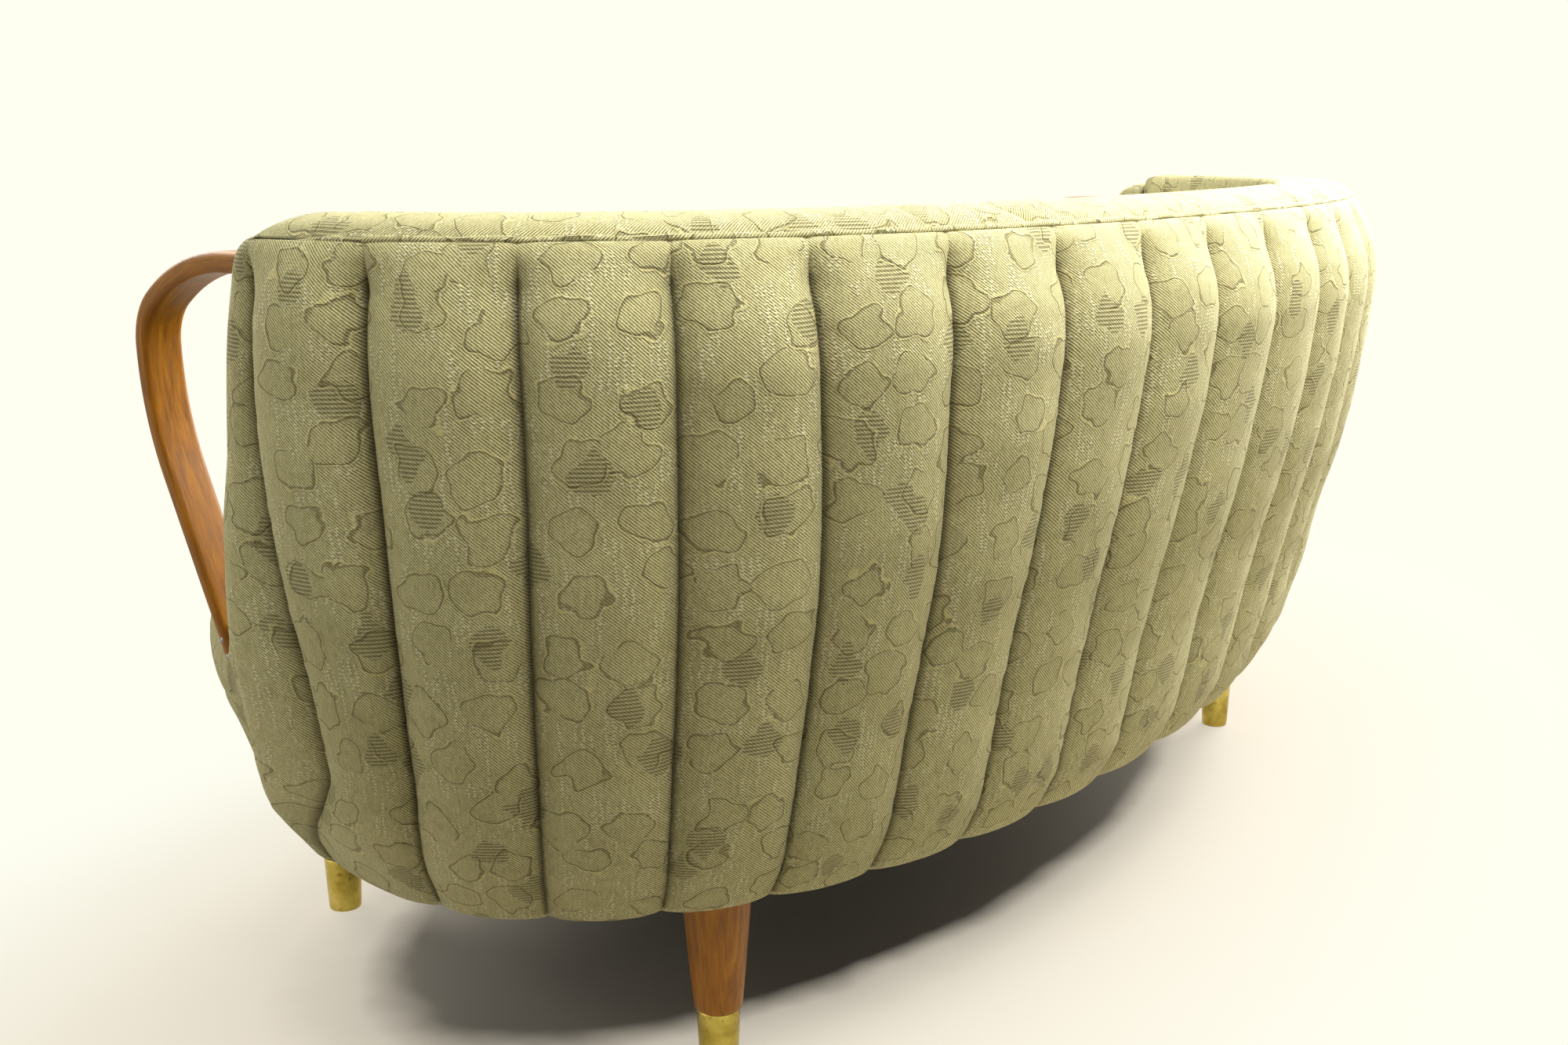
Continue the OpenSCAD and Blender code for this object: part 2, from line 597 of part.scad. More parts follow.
function mirrored(p) = [-p[0], p[1]];
module tenon_bores() {
    for (p = [front_leg, mirrored(front_leg), rear_leg, mirrored(rear_leg)])
        translate(lift(p, frame_base - overrun))
            cylinder(r = tenon_radius + seat_gap, h = tenon_length + overrun + seat_gap, $fn = 48);
}

// Timber frame
band_steps = 48;
rear_rail_end = half_seam - post_width;
rear_arc = [for (t = steps(band_steps)) mix(-rear_rail_end, rear_rail_end, t)];
function front_rail_inset(a) = border_inset(border_inner_shares[2], a) + border_thickness;
front_rail_end = 75;
front_rail_angles = [for (t = steps(front_steps)) mix(-front_rail_end, front_rail_end, t)];
rear_rail_outer = [for (s = rear_arc) plan(s, rear_rail_out(s))];
rear_rail_inner = [for (s = rear_arc) plan(s, rear_rail_out(s) - rear_rail_thickness)];
front_rail_outer = [for (a = front_rail_angles) front(a, -front_rail_inset(a))];
front_rail_inner = [for (a = front_rail_angles) front(a, -front_rail_inset(a) - front_rail_thickness)];
module ply(height, from) {
    translate([0, 0, from]) linear_extrude(height) children();
}
module rear_rail() {
    color("#c8a878") difference() {
        ply(rail_height, frame_base) polygon(concat(rear_rail_outer, reverse(rear_rail_inner)));
        tenon_bores();
        block_screws_at(screw_radius + seat_gap, 0);
    }
}
module front_rail() {
    color("#c8a878") difference() {
        ply(front_rail_height, frame_base) polygon(concat(front_rail_outer, reverse(front_rail_inner)));
        tenon_bores();
        block_screws_at(screw_radius + seat_gap, 0);
    }
}
// Each wing block joins the end of the rear rail to the start of the front rail
joint_share = 0.3;
module wing_blocks() {
    a = rear_rail_outer[band_steps];
    b = rear_rail_inner[band_steps];
    c = front_rail_inner[front_steps];
    d = mix(c, front_rail_outer[front_steps], joint_share);
    color("#c8a878") for (m = [0, 1]) mirror([m, 0, 0])
        ply(rail_height, frame_base) polygon([a, b, c, d]);
}
// Outline of the space inside the seat rails
strap_edge = 14;
inner_outline = concat(front_rail_inner, reverse(rear_rail_inner));
outer_outline = concat([for (a = front_rail_angles) front(a, -front_rail_inset(a) - strap_edge)],
    reverse([for (s = rear_arc) plan(s, rear_rail_out(s) - strap_edge)]));
cross_rail_x = spring_pitch * 3 / 2;
module cross_rails() {
    color("#c8a878") for (x = [-cross_rail_x, cross_rail_x]) ply(rail_height, frame_base)
        intersection() {
            translate([x - cross_rail_width / 2, -seam_length]) square([cross_rail_width, 2 * seam_length]);
            polygon(inner_outline);
        }
}
leg_block_size = 112;
module leg_blocks() {
    color("#c8a878") difference() {
        ply(rail_height, frame_base) intersection() {
            for (m = [0, 1]) mirror([m, 0]) {
                translate(front_leg) rotate(-leg_block_turn) square(leg_block_size, center = true);
                translate(plan(rear_leg_place, rear_rail_out(rear_leg_place) - rear_rail_thickness))
                    rotate(-turn_at(rear_leg_place)) square([leg_block_size, leg_block_size], center = true);
            }
            polygon(inner_outline);
        }
        tenon_bores();
        block_screws_at(screw_radius + seat_gap, overrun);
    }
}
leg_block_turn = 45;
block_screw_spread = 34;
block_screw_reach = 30;
// Screws from inside each leg block into the rail behind it
module block_screws_at(r, extra) {
    depth = leg_block_size / 2 + extra;
    for (m = [0, 1]) mirror([m, 0, 0]) for (k = [-1, 1]) {
        translate(lift(plan(rear_leg_place, rear_rail_out(rear_leg_place) - rear_rail_thickness),
            frame_base + rail_height / 2))
            rotate([0, 0, -turn_at(rear_leg_place)]) translate([k * block_screw_spread, block_screw_reach / 2, 0])
                rotate([90, 0, 0]) cylinder(r = r, h = depth + block_screw_reach / 2, $fn = 24);
        translate(lift(front(front_screw_angle + k * front_screw_spread,
            -front_rail_inset(front_screw_angle) - front_rail_thickness), frame_base + rail_height / 2))
            rotate([0, 0, front_screw_turn(k)]) translate([0, -block_screw_reach / 2, 0])
                rotate([-90, 0, 0]) cylinder(r = r, h = block_screw_reach * 2 + extra, $fn = 24);
    }
}
front_screw_angle = 60;
front_screw_spread = 6;
function front_screw_turn(k) = let (d = front_out(front_screw_angle + k * front_screw_spread))
    atan2(-d[0], -d[1]) * -1;
module block_screws() {
    color("#8c8c88") block_screws_at(screw_radius, 0);
}

// A sawn post that follows the curved outer face, drawn as out and height
function post_side(s, low, high) = let (zs = [for (t = steps(6)) mix(low, high, t)])
    concat([for (z = zs) [back_out(z, s) - cover_thickness - post_gap, z]],
        [for (z = reverse(zs)) [frame_in(z), z]]);
module post(s, low, high) {
    d = out_dir(s);
    t = along_dir(s);
    p = plan(s, 0);
    multmatrix([[d[0], t[0], 0, p[0]], [d[1], t[1], 0, p[1]], [0, 0, 1, 0], [0, 0, 0, 1]])
        rotate([90, 0, 0]) linear_extrude(post_width, center = true) polygon(post_side(s, low, high));
}
end_gap = 16;
rail_top = frame_base + rail_height;
top_rail_top = seam_height - rim_drop - padding_gap / 2;
top_rail_base = top_rail_top - top_rail_height;
top_rail_end = half_seam - post_width - end_gap;
post_places = [for (i = [0:post_count - 1])
    mix(-half_seam, half_seam, (i + 1) / (post_count + 1))];
wing_post_place = half_seam - post_width / 2 - padding_gap;
module back_posts() {
    color("#c8a878") for (s = post_places) post(s, rail_top, top_rail_base);
}
module wing_posts() {
    color("#c8a878") difference() {
        for (s = [-wing_post_place, wing_post_place]) post(s, rail_top, arm_height - arm_thickness);
        for (m = [0, 1]) mirror([m, 0, 0]) root_screw(screw_radius + seat_gap, 0);
    }
}
module top_rail() {
    arc = [for (t = steps(band_steps)) mix(-top_rail_end, top_rail_end, t)];
    color("#c8a878") ply(top_rail_height, top_rail_base) polygon(concat(
        [for (s = arc) plan(s, -cover_thickness - padding_gap)], reverse([for (s = arc) plan(s, -frame_face)])));
}
// Lower back rail, notched round the posts, for the foot of the back pads' covers
tack_rail_base = deck_height + rail_line_gap;
tack_rail_thickness = 20;
module tack_rail() {
    arc = [for (t = steps(band_steps)) mix(-wing_post_place, wing_post_place, t)];
    out = frame_in(tack_rail_base + tack_rail_height) + tack_rail_thickness;
    color("#c8a878") difference() {
        ply(tack_rail_height, tack_rail_base) polygon(concat([for (s = arc) plan(s, out)],
            reverse([for (s = arc) plan(s, out - tack_rail_thickness)])));
        for (s = concat(post_places, [-wing_post_place, wing_post_place])) translate(lift(plan(s, 0), 0))
            rotate([0, 0, -side(s) * turn_at(s)]) translate([-post_width / 2 - seat_gap,
                out - tack_rail_thickness - overrun, tack_rail_base - overrun])
                cube([post_width + 2 * seat_gap, tack_rail_thickness + 2 * overrun,
                    tack_rail_height + 2 * overrun]);
    }
}
// Upright straps that back the inner pads, two between each pair of posts
back_strap_count = 2 * (post_count + 1);
// How far the edges of a flat strap stand off the curve of the rails
function strap_rise(s) = let (h = strap_width / 2,
        radius = strap_width * 180 / PI / (turn_at(abs(s) + h) - turn_at(abs(s) - h)))
    h * h / 2 / (radius + frame_in(tack_rail_base));
module back_webbing() {
    z0 = tack_rail_base + tack_rail_height / 2;
    z1 = top_rail_base + top_rail_height / 2;
    color("#8a7a5c") for (i = [0:back_strap_count - 1]) {
        s = mix(-half_seam, half_seam, (i + 1 / 2) / back_strap_count);
        f = strap_rise(s) + seat_gap;
        d = out_dir(s);
        t = along_dir(s);
        p = plan(s, 0);
        multmatrix([[d[0], t[0], 0, p[0]], [d[1], t[1], 0, p[1]], [0, 0, 1, 0], [0, 0, 0, 1]])
            rotate([90, 0, 0]) linear_extrude(strap_width, center = true) polygon([
                [frame_in(z0) - f, z0], [frame_in(z1) - f, z1],
                [frame_in(z1) - f - strap_thickness, z1], [frame_in(z0) - f - strap_thickness, z0]]);
    }
}

// Seat suspension: straps under the rails, springs on them and hessian over them
strap_gap = 34;
strap_pitch = strap_width + strap_gap;
strap_reach_x = 640;
module seat_webbing_crosswise() {
    n = floor(strap_reach_x / strap_pitch);
    color("#8a7a5c") difference() {
        ply(strap_thickness, frame_base - strap_thickness) intersection() {
            for (i = [-n:n]) translate([i * strap_pitch - strap_width / 2, -seam_length])
                square([strap_width, 2 * seam_length]);
            polygon(outer_outline);
        }
        leg_clearances();
    }
}
module seat_webbing_lengthwise() {
    color("#8a7a5c") difference() {
        ply(strap_thickness, frame_base - 2 * strap_thickness) intersection() {
            for (i = [0:strap_rows - 1]) translate([-seam_length, front_leg[1] + strap_first + i * strap_pitch])
                square([2 * seam_length, strap_width]);
            polygon(outer_outline);
        }
        leg_clearances();
    }
}
strap_rows = 6;
strap_first = -30;
module leg_clearances() {
    for (p = [front_leg, mirrored(front_leg), rear_leg, mirrored(rear_leg)])
        translate(lift(p, 0)) cylinder(r = leg_top_radius + padding_gap, h = frame_base + overrun, $fn = 48);
}
// Rows of waisted coil springs, drawn as their outer form
spring_rows = [[-0.5, 2], [-1.5, 4], [-2.5, 5], [-3.5, 5]];
spring_waist = 0.68;
spring_row_start = plan(0, rear_rail_out(0) - rear_rail_thickness)[1];
module seat_springs() {
    z0 = frame_base;
    z1 = deck_height - 2 * cloth_thickness;
    r = spring_radius;
    w = spring_wire;
    color("#6e6e6a") for (row = spring_rows) for (i = [-row[1]:row[1]])
        translate([i * spring_pitch, spring_row_start + row[0] * spring_pitch, 0])
            rotate_extrude($fn = 32) polygon([[r, z0], [r, z0 + w], [r * spring_waist, (z0 + z1) / 2],
                [r, z1 - w], [r, z1], [r - w, z1], [r * spring_waist - w, (z0 + z1) / 2], [r - w, z0]]);
}
cover_line_back = [for (s = rear_arc) plan(s, min(rear_rail_out(s) - rear_rail_thickness,
    frame_in(deck_height) - padding_gap))];
module spring_cover() {
    color("#b09a70") difference() {
        ply(cloth_thickness, deck_height - 2 * cloth_thickness)
            polygon(concat(front_rail_inner, reverse(cover_line_back)));
        for (m = [0, 1]) mirror([m, 0, 0]) block_cutter();
    }
}
module dust_cover() {
    color("#2e2a26") difference() {
        ply(cloth_thickness, frame_base - 2 * strap_thickness - cloth_thickness) polygon(outer_outline);
        leg_clearances();
    }
}

outer_back();
back_pad(1);  // back_pad_centre
back_pad(0);  // back_pad_left
back_pad(2);  // back_pad_right
seat_pad();
front_border();
arm(1);  // arm_left
arm(0);  // arm_right
arm_blocks();
arm_screws();
leg(mirrored(front_leg));  // leg_front_left
leg(front_leg);  // leg_front_right
leg(mirrored(rear_leg));  // leg_rear_left
leg(rear_leg);  // leg_rear_right
ferrule(mirrored(front_leg));  // ferrule_front_left
ferrule(front_leg);  // ferrule_front_right
ferrule(mirrored(rear_leg));  // ferrule_rear_left
ferrule(rear_leg);  // ferrule_rear_right
rear_rail();
front_rail();
wing_blocks();
cross_rails();
leg_blocks();
block_screws();
back_posts();
wing_posts();
top_rail();
tack_rail();
back_webbing();
seat_webbing_lengthwise();
seat_webbing_crosswise();
seat_springs();
spring_cover();
dust_cover();
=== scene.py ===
import json
import math

import bmesh
import bpy
import numpy as np
from mathutils import Matrix, Vector


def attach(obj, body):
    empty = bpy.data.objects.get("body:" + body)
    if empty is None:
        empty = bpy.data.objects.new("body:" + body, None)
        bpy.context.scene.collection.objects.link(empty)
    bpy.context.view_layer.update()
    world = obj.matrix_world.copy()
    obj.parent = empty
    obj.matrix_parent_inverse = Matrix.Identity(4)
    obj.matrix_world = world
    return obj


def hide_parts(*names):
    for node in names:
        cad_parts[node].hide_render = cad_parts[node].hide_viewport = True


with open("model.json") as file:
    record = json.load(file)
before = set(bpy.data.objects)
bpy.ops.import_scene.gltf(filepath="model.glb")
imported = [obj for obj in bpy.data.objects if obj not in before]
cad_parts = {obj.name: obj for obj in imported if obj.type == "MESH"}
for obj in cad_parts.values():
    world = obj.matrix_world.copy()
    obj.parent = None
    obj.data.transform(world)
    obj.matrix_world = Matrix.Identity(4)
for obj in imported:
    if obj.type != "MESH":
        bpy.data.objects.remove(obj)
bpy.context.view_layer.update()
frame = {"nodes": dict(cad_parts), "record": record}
scene = bpy.context.scene

# Form of the back, in millimetres

# A place on the back is s along the top seam from its middle, a distance out from that seam
# (negative is towards the sitter) and a height z.
HALF = 1085.0  # half the length of the top seam
TURN = 94.0  # degrees that the seam turns through from its middle to a wing's end
EVEN = 0.28  # share of that turn that is spread evenly
SHIFT = 430.204  # from the middle of the sofa's outline back to the middle of the seam
WING = 100.0  # thickness of the wings at their rounded ends
END_R = WING / 2
END_ARC = math.pi * END_R
SEAM_Z, HEM_Z = 750.0, 170.0
SHOULDER, TIP_SHOULDER = 28, 14  # how far the shoulder stands out past the seam
SHOULDER_HEIGHT = 100
END_WRAP, END_WRAP_LOW = 180, 168  # degrees of the cover's turn round a wing's end, and at its hem
WRAP_LEVEL = 0.4  # up to where it turns less
WING_SWEEP = 75  # how far the wings' ends come forward from the seam down to the hem
HEM_INSET, TIP_HEM_INSET = 110, 115
# shares of those insets at each level, from the hem (0) to the seam (1)
CENTRE_INSET = [[0, 1], [0.03, 0.86], [0.09, 0.66], [0.18, 0.49], [0.32, 0.33], [0.5, 0.18],
                [0.7, 0.06], [0.86, 0], [1, 0]]
TIP_INSET = [[0, 1], [0.03, 0.92], [0.07, 0.78], [0.1, 0.66], [0.18, 0.42], [0.29, 0.2],
             [0.37, 0.1], [0.5, 0.02], [0.6, 0], [1, 0]]
BORDER_PROFILE = [[0, 1], [0.12, 0.84], [0.34, 0.58], [0.62, 0.28], [0.86, 0.02], [1, 0.04]]
GROOVES = np.array([0, 0.124, 0.235, 0.35, 0.463, 0.583, 0.682, 0.785, 0.892, 1]) * HALF
# how much fuller the wings' lower ends are than the frame's line, at these heights
TIP_Z = [165, 175, 185, 200, 215, 230, 245, 260, 280, 300, 320, 345]
TIP_FULL = [14, 27, 35, 41, 42, 40, 35, 28, 18.5, 11, 5, 0]
# how far the stuffing stands out from the frame's line, at these heights
SWELL_Z = [150, 170, 215, 270, 340, 400, 450, 500, 580, 650, 690, 710, 731, 750, 800]
SWELL = [0, 0, -4, -10, -12, -8, -2, 3, 8, 11, 8.5, 5, 1, 0, 0]
# How far each sewn line wanders along the cover, at these heights. The rows are the lines from the
# second one left of the middle to the one at the right wing. The other lines on the left mirror those.
LINE_Z = [170, 190, 240, 300, 380, 460, 540, 620, 700, 750]
FIRST_LINE, LAST_LINE = -2, 9
LINE_DRIFT = [[3, 4, 6, 5, 4, 2, 0, -2, -2, 0],
              [4, 5, 8, 6, 4, 2, 0, -3, -3, 0],
              [4, 4, 6, 6, 5, 4, 1, -3, -4, 0],
              [3, 3, 8, 9, 9, 9, 3, -3, -3, 0],
              [0, 0, 3, 3, 3, 6, 3, -2, -4, 0],
              [-2, -2, 0, 0, 0, 1, -2, -4, -5, 0],
              [-2, -2, -3, -4, -6, -7, -4, 1, 0, 0],
              [-15, -19, -17, -20, -21, -20, -16, -10, -5, 0],
              [-8, -11, -9, -9, -9, -8, -6, -4, -2, 0],
              [-4, -4, -6, -6, -6, -6, -6, -4, 0, 0],
              [0, 0, -8, -16, -18, -17, -13, -5, 0, 0],
              [0, 0, -22, -52, -55, -40, -20, -2, 0, 0]]


def mix(a, b, t):
    return a + (b - a) * t


def smoothstep(t):
    t = np.clip(t, 0, 1)
    return t * t * (3 - 2 * t)


def table_curve(rows, spread=0.03):
    """A smooth reading of a table of pairs."""
    count = 800
    x = np.linspace(0, 1, count + 1)
    y = np.interp(x, [r[0] for r in rows], [r[1] for r in rows])
    n = int(spread * count)
    k = np.hanning(2 * n + 1)
    k /= k.sum()
    padded = np.concatenate([2 * y[0] - y[n:0:-1], y, 2 * y[-1] - y[-2:-n - 2:-1]])
    y = np.convolve(padded, k, mode="valid")
    return lambda v: np.interp(v, x, y)


centre_inset = table_curve(CENTRE_INSET)
tip_inset = table_curve(TIP_INSET)
border_profile = table_curve(BORDER_PROFILE, 0.05)


def toward_tip(s):
    """0 at the middle of the back, 1 at the wings' ends."""
    return np.clip(np.abs(s) / HALF, 0, 1)


def side_of(s):
    return np.sign(s + 1e-12)


def turn_at(s):
    t = toward_tip(s)
    return np.radians(TURN * mix(t ** 3, t, EVEN))


# the top seam in plan, found by adding short steps along its turning direction
SEAM_STEPS = 2400
step_mid = (np.arange(SEAM_STEPS) + 0.5) * HALF / SEAM_STEPS
SEAM_S = np.arange(SEAM_STEPS + 1) * HALF / SEAM_STEPS
SEAM_X = np.concatenate([[0], np.cumsum(np.cos(turn_at(step_mid))) * HALF / SEAM_STEPS])
SEAM_Y = np.concatenate([[0], -np.cumsum(np.sin(turn_at(step_mid))) * HALF / SEAM_STEPS])


def out_dir(s):
    a = turn_at(s)
    return side_of(s) * np.sin(a), np.cos(a)


def along_dir(s):
    a = turn_at(s)
    return np.cos(a), -side_of(s) * np.sin(a)


def plan(s, out):
    s = np.asarray(s, float)
    past = np.maximum(0, np.abs(s) - HALF) * side_of(s)
    ax, ay = along_dir(s)
    ox, oy = out_dir(s)
    x = side_of(s) * np.interp(np.abs(s), SEAM_S, SEAM_X) + past * ax + out * ox
    y = np.interp(np.abs(s), SEAM_S, SEAM_Y) + past * ay + out * oy + SHIFT
    return x, y


def level(z):
    """0 at the hem, 1 at the top seam."""
    return (z - HEM_Z) / (SEAM_Z - HEM_Z)


def inset_at(z, s):
    v = np.clip(level(z), 0, 1)
    return mix(HEM_INSET * centre_inset(v), TIP_HEM_INSET * tip_inset(v), toward_tip(s) ** 2)


def shoulder_at(z, s):
    t = np.clip((z - (SEAM_Z - SHOULDER_HEIGHT)) / SHOULDER_HEIGHT, 0, 1)
    return mix(SHOULDER, TIP_SHOULDER, toward_tip(s) ** 2) * (1 - t ** 2.2) ** 0.6


def swept(s, z):
    """Where a place along the seam comes to at height z, because the wings sweep forward."""
    t = toward_tip(s)
    fuller = np.interp(z, TIP_Z, TIP_FULL) * t ** 20
    return s + side_of(s) * (WING_SWEEP * t ** 6 * (1 - level(z)) + fuller)


def swell(z, s):
    """How far the stuffing stands out, fading out at the wings."""
    return np.interp(z, SWELL_Z, SWELL) * np.sqrt(np.maximum(0, 1 - toward_tip(s) ** 3))


def drift(k, z):
    """How far a sewn line wanders. k counts the lines from the middle, and is negative on the left."""
    if abs(k) > LAST_LINE:
        return 0 * z
    mirrored = k < FIRST_LINE
    x = np.linspace(150, 750, 241)
    y = np.interp(x, LINE_Z, LINE_DRIFT[(-k if mirrored else k) - FIRST_LINE])
    # the table's corners are evened out this many of those points to each side
    reach = 16
    w = np.hanning(2 * reach + 1)
    y = np.convolve(np.pad(y, reach, mode="edge"), w / w.sum(), mode="valid")
    return np.interp(z, x, y) * (-1 if mirrored else 1)


def wrap_turn(z):
    """Degrees that the cover turns through round a wing's end: a little less low down, by the border."""
    return mix(END_WRAP_LOW, END_WRAP, np.clip(level(z) / WRAP_LEVEL, 0, 1))


def wrap(u, z, depth):
    """A point on the outer back: u along the cover, z up, depth below its crest surface."""
    u = np.asarray(u, float)
    s = swept(np.clip(u, -HALF, HALF), z)
    past = np.maximum(0, np.abs(u) - HALF)
    a = np.radians(past / END_ARC * wrap_turn(z))
    inset = inset_at(z, s) - swell(z, s)
    mx, my = plan(s, -(END_R + inset))
    r = END_R + shoulder_at(z, s) * (1 + np.cos(a)) / 2 - depth
    ox, oy = out_dir(s)
    ax, ay = along_dir(s)
    side = side_of(u)
    x = mx + r * (ox * np.cos(a) + side * ax * np.sin(a))
    y = my + r * (oy * np.cos(a) + side * ay * np.sin(a))
    return np.stack([x, y, z + 0 * x], -1)


def waves(x, seed, size, count=5):
    """A smooth wandering value of about unit size, the same on every run."""
    rng = np.random.RandomState(seed)
    out = 0
    for _ in range(count):
        out = out + np.sin(2 * math.pi * x / (size * rng.uniform(0.6, 1.8)) + rng.uniform(0, 6.28))
    return out / math.sqrt(count)


# Mesh helpers


def new_object(name, verts, faces):
    """verts are in mm."""
    mesh = bpy.data.meshes.new(name)
    mesh.from_pydata([tuple(v) for v in np.asarray(verts) / 1000.0], [], faces)
    mesh.update()
    mesh.shade_smooth()
    obj = bpy.data.objects.new(name, mesh)
    scene.collection.objects.link(obj)
    return obj


def pairs(u, v):
    return np.stack(np.broadcast_arrays(u, v), -1).reshape(-1, 2)


def set_uv(obj, uv, name="cloth"):
    """uv holds one pair for each vertex, in metres in the cloth layer."""
    mesh = obj.data
    layer = mesh.uv_layers.new(name=name)
    index = np.zeros(len(mesh.loops), np.int32)
    mesh.loops.foreach_get("vertex_index", index)
    layer.data.foreach_set("uv", np.asarray(uv, np.float32)[index].ravel())


def points_of(obj):
    mesh = obj.data
    co = np.zeros(len(mesh.vertices) * 3, np.float32)
    mesh.vertices.foreach_get("co", co)
    return co.reshape(-1, 3).astype(float) * 1000


def run_along(points):
    """The distance along a row of points, or the mean one along many like rows."""
    step = np.linalg.norm(np.diff(points, axis=-2), axis=-1)
    return np.concatenate([[0], np.cumsum(step.mean(0) if step.ndim > 1 else step)])


def band_faces(n, loops):
    """Faces between closed loops of n points each."""
    faces = []
    for c in range(loops - 1):
        for r in range(n):
            a, b = c * n + r, c * n + (r + 1) % n
            faces.append((a, b, b + n, a + n))
    return faces


def loft_faces(n, loops):
    """The same, with the first and the last loop closed."""
    caps = [tuple(range(n)), tuple((loops - 1) * n + r for r in reversed(range(n)))]
    return band_faces(n, loops) + caps


def finish_piece(obj, mat, slot, *nodes):
    """Turns the closed mesh's faces outwards, gives it its finish, hangs it under the root, and hides the CAD
    parts it stands in for.
    """
    bm = bmesh.new()
    bm.from_mesh(obj.data)
    bmesh.ops.recalc_face_normals(bm, faces=bm.faces)
    bm.to_mesh(obj.data)
    bm.free()
    obj.data.materials.append(mat)
    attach(obj, "root")
    if nodes:
        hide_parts(*nodes)


# Node materials


class Graph:
    """Short names for the nodes of an emptied tree."""

    def __init__(self, owner):
        owner.use_nodes = True
        self.t = owner.node_tree
        self.t.nodes.clear()

    def node(self, kind, **props):
        n = self.t.nodes.new(kind)
        for k, v in props.items():
            setattr(n, k, v)
        return n

    def put(self, socket, value):
        if isinstance(value, bpy.types.NodeSocket):
            self.t.links.new(value, socket)
        else:
            socket.default_value = value

    def place(self):
        return self.node("ShaderNodeTexCoord").outputs["Object"]

    def uv(self, layer):
        return self.node("ShaderNodeUVMap", uv_map=layer).outputs[0]

    def parts(self, vec):
        n = self.node("ShaderNodeSeparateXYZ")
        self.put(n.inputs[0], vec)
        return n.outputs

    def mapped(self, vec, scale, shift=(0.0, 0.0, 0.0)):
        n = self.node("ShaderNodeMapping")
        n.inputs["Location"].default_value = shift
        n.inputs["Scale"].default_value = scale
        self.put(n.inputs[0], vec)
        return n.outputs[0]

    def math(self, op, a, b=None, c=None):
        n = self.node("ShaderNodeMath", operation=op)
        for s, v in zip(n.inputs, (a, b, c)):
            if v is not None:
                self.put(s, v)
        return n.outputs[0]

    def inverse(self, value):
        return self.math("SUBTRACT", 1.0, value)

    def vmath(self, op, a, b=None, scale=None):
        n = self.node("ShaderNodeVectorMath", operation=op)
        self.put(n.inputs[0], a)
        if b is not None:
            self.put(n.inputs[1], b)
        if scale is not None:
            self.put(n.inputs["Scale"], scale)
        return n.outputs["Value" if op == "LENGTH" else 0]

    def mix(self, fac, a, b):
        n = self.node("ShaderNodeMix", data_type="RGBA")
        self.put(n.inputs[0], fac)
        self.put(n.inputs[6], a)
        self.put(n.inputs[7], b)
        return n.outputs[2]

    def lay(self, under, *layers):
        """Lays colours over one another, each where its mask is and up to its share."""
        for mask, share, over in layers:
            under = self.mix(self.math("MULTIPLY", mask, share), under, over)
        return under

    def pile(self, height, *layers):
        """Adds values to a height, each times its own rise."""
        for value, rise in layers:
            height = self.math("MULTIPLY_ADD", value, rise, height)
        return height

    def noise(self, vec, scale, detail=2.0, rough=0.5, out=0):
        n = self.node("ShaderNodeTexNoise")
        self.put(n.inputs["Vector"], vec)
        n.inputs["Scale"].default_value = scale
        n.inputs["Detail"].default_value = detail
        n.inputs["Roughness"].default_value = rough
        return n.outputs[out]

    def wander(self, vec, scale, reach):
        """Moves a place about by up to half of reach."""
        off = self.vmath("SUBTRACT", self.noise(vec, scale, 1.0, 0.5, 1), (0.5, 0.5, 0.5))
        return self.vmath("ADD", vec, self.vmath("SCALE", off, scale=reach))

    def ramp(self, fac, stops):
        n = self.node("ShaderNodeValToRGB")
        el = n.color_ramp.elements
        while len(el) < len(stops):
            el.new(0.5)
        for e, (p, c) in zip(el, stops):
            e.position = p
            e.color = c if len(c) == 4 else (*c, 1)
        self.put(n.inputs[0], fac)
        return n.outputs[0]

    def step(self, value, low, high):
        n = self.node("ShaderNodeMapRange", interpolation_type="SMOOTHSTEP", clamp=True)
        self.put(n.inputs[0], value)
        self.put(n.inputs[1], low)
        self.put(n.inputs[2], high)
        n.inputs[3].default_value = 0
        n.inputs[4].default_value = 1
        return n.outputs[0]

    def near_line(self, value, width, soft):
        """1 where the value is within width of 0."""
        return self.inverse(self.step(self.math("ABSOLUTE", value), width, width + soft))

    def band(self, value, period, phase=0.0):
        turns = self.math("MULTIPLY_ADD", value, 2 * math.pi / period, phase)
        return self.math("MULTIPLY_ADD", self.math("SINE", turns), 0.5, 0.5)

    def bump(self, height, distance, strength=1.0):
        n = self.node("ShaderNodeBump")
        n.inputs["Strength"].default_value = strength
        n.inputs["Distance"].default_value = distance
        self.put(n.inputs["Height"], height)
        return n.outputs[0]

    def cells(self, vec, scale, randomness, out="Distance", **props):
        n = self.node("ShaderNodeTexVoronoi", voronoi_dimensions="2D", **props)
        self.put(n.inputs["Vector"], vec)
        n.inputs["Scale"].default_value = scale
        n.inputs["Randomness"].default_value = randomness
        if props:
            n.inputs["Exponent"].default_value = POINTED
        return n.outputs[out]


def material(name):
    m = bpy.data.materials.new(name)
    g = Graph(m)
    bsdf = g.node("ShaderNodeBsdfPrincipled")
    g.put(g.node("ShaderNodeOutputMaterial").inputs[0], bsdf.outputs[0])
    return m, g, bsdf


def finish(g, bsdf, colour, rough, normal):
    g.put(bsdf.inputs["Base Color"], colour)
    g.put(bsdf.inputs["Roughness"], rough)
    g.put(bsdf.inputs["Normal"], normal)


def srgb(r, g, b):
    def lin(c):
        c /= 255.0
        return c / 12.92 if c <= 0.04045 else ((c + 0.055) / 1.055) ** 2.4
    return (lin(r), lin(g), lin(b), 1.0)


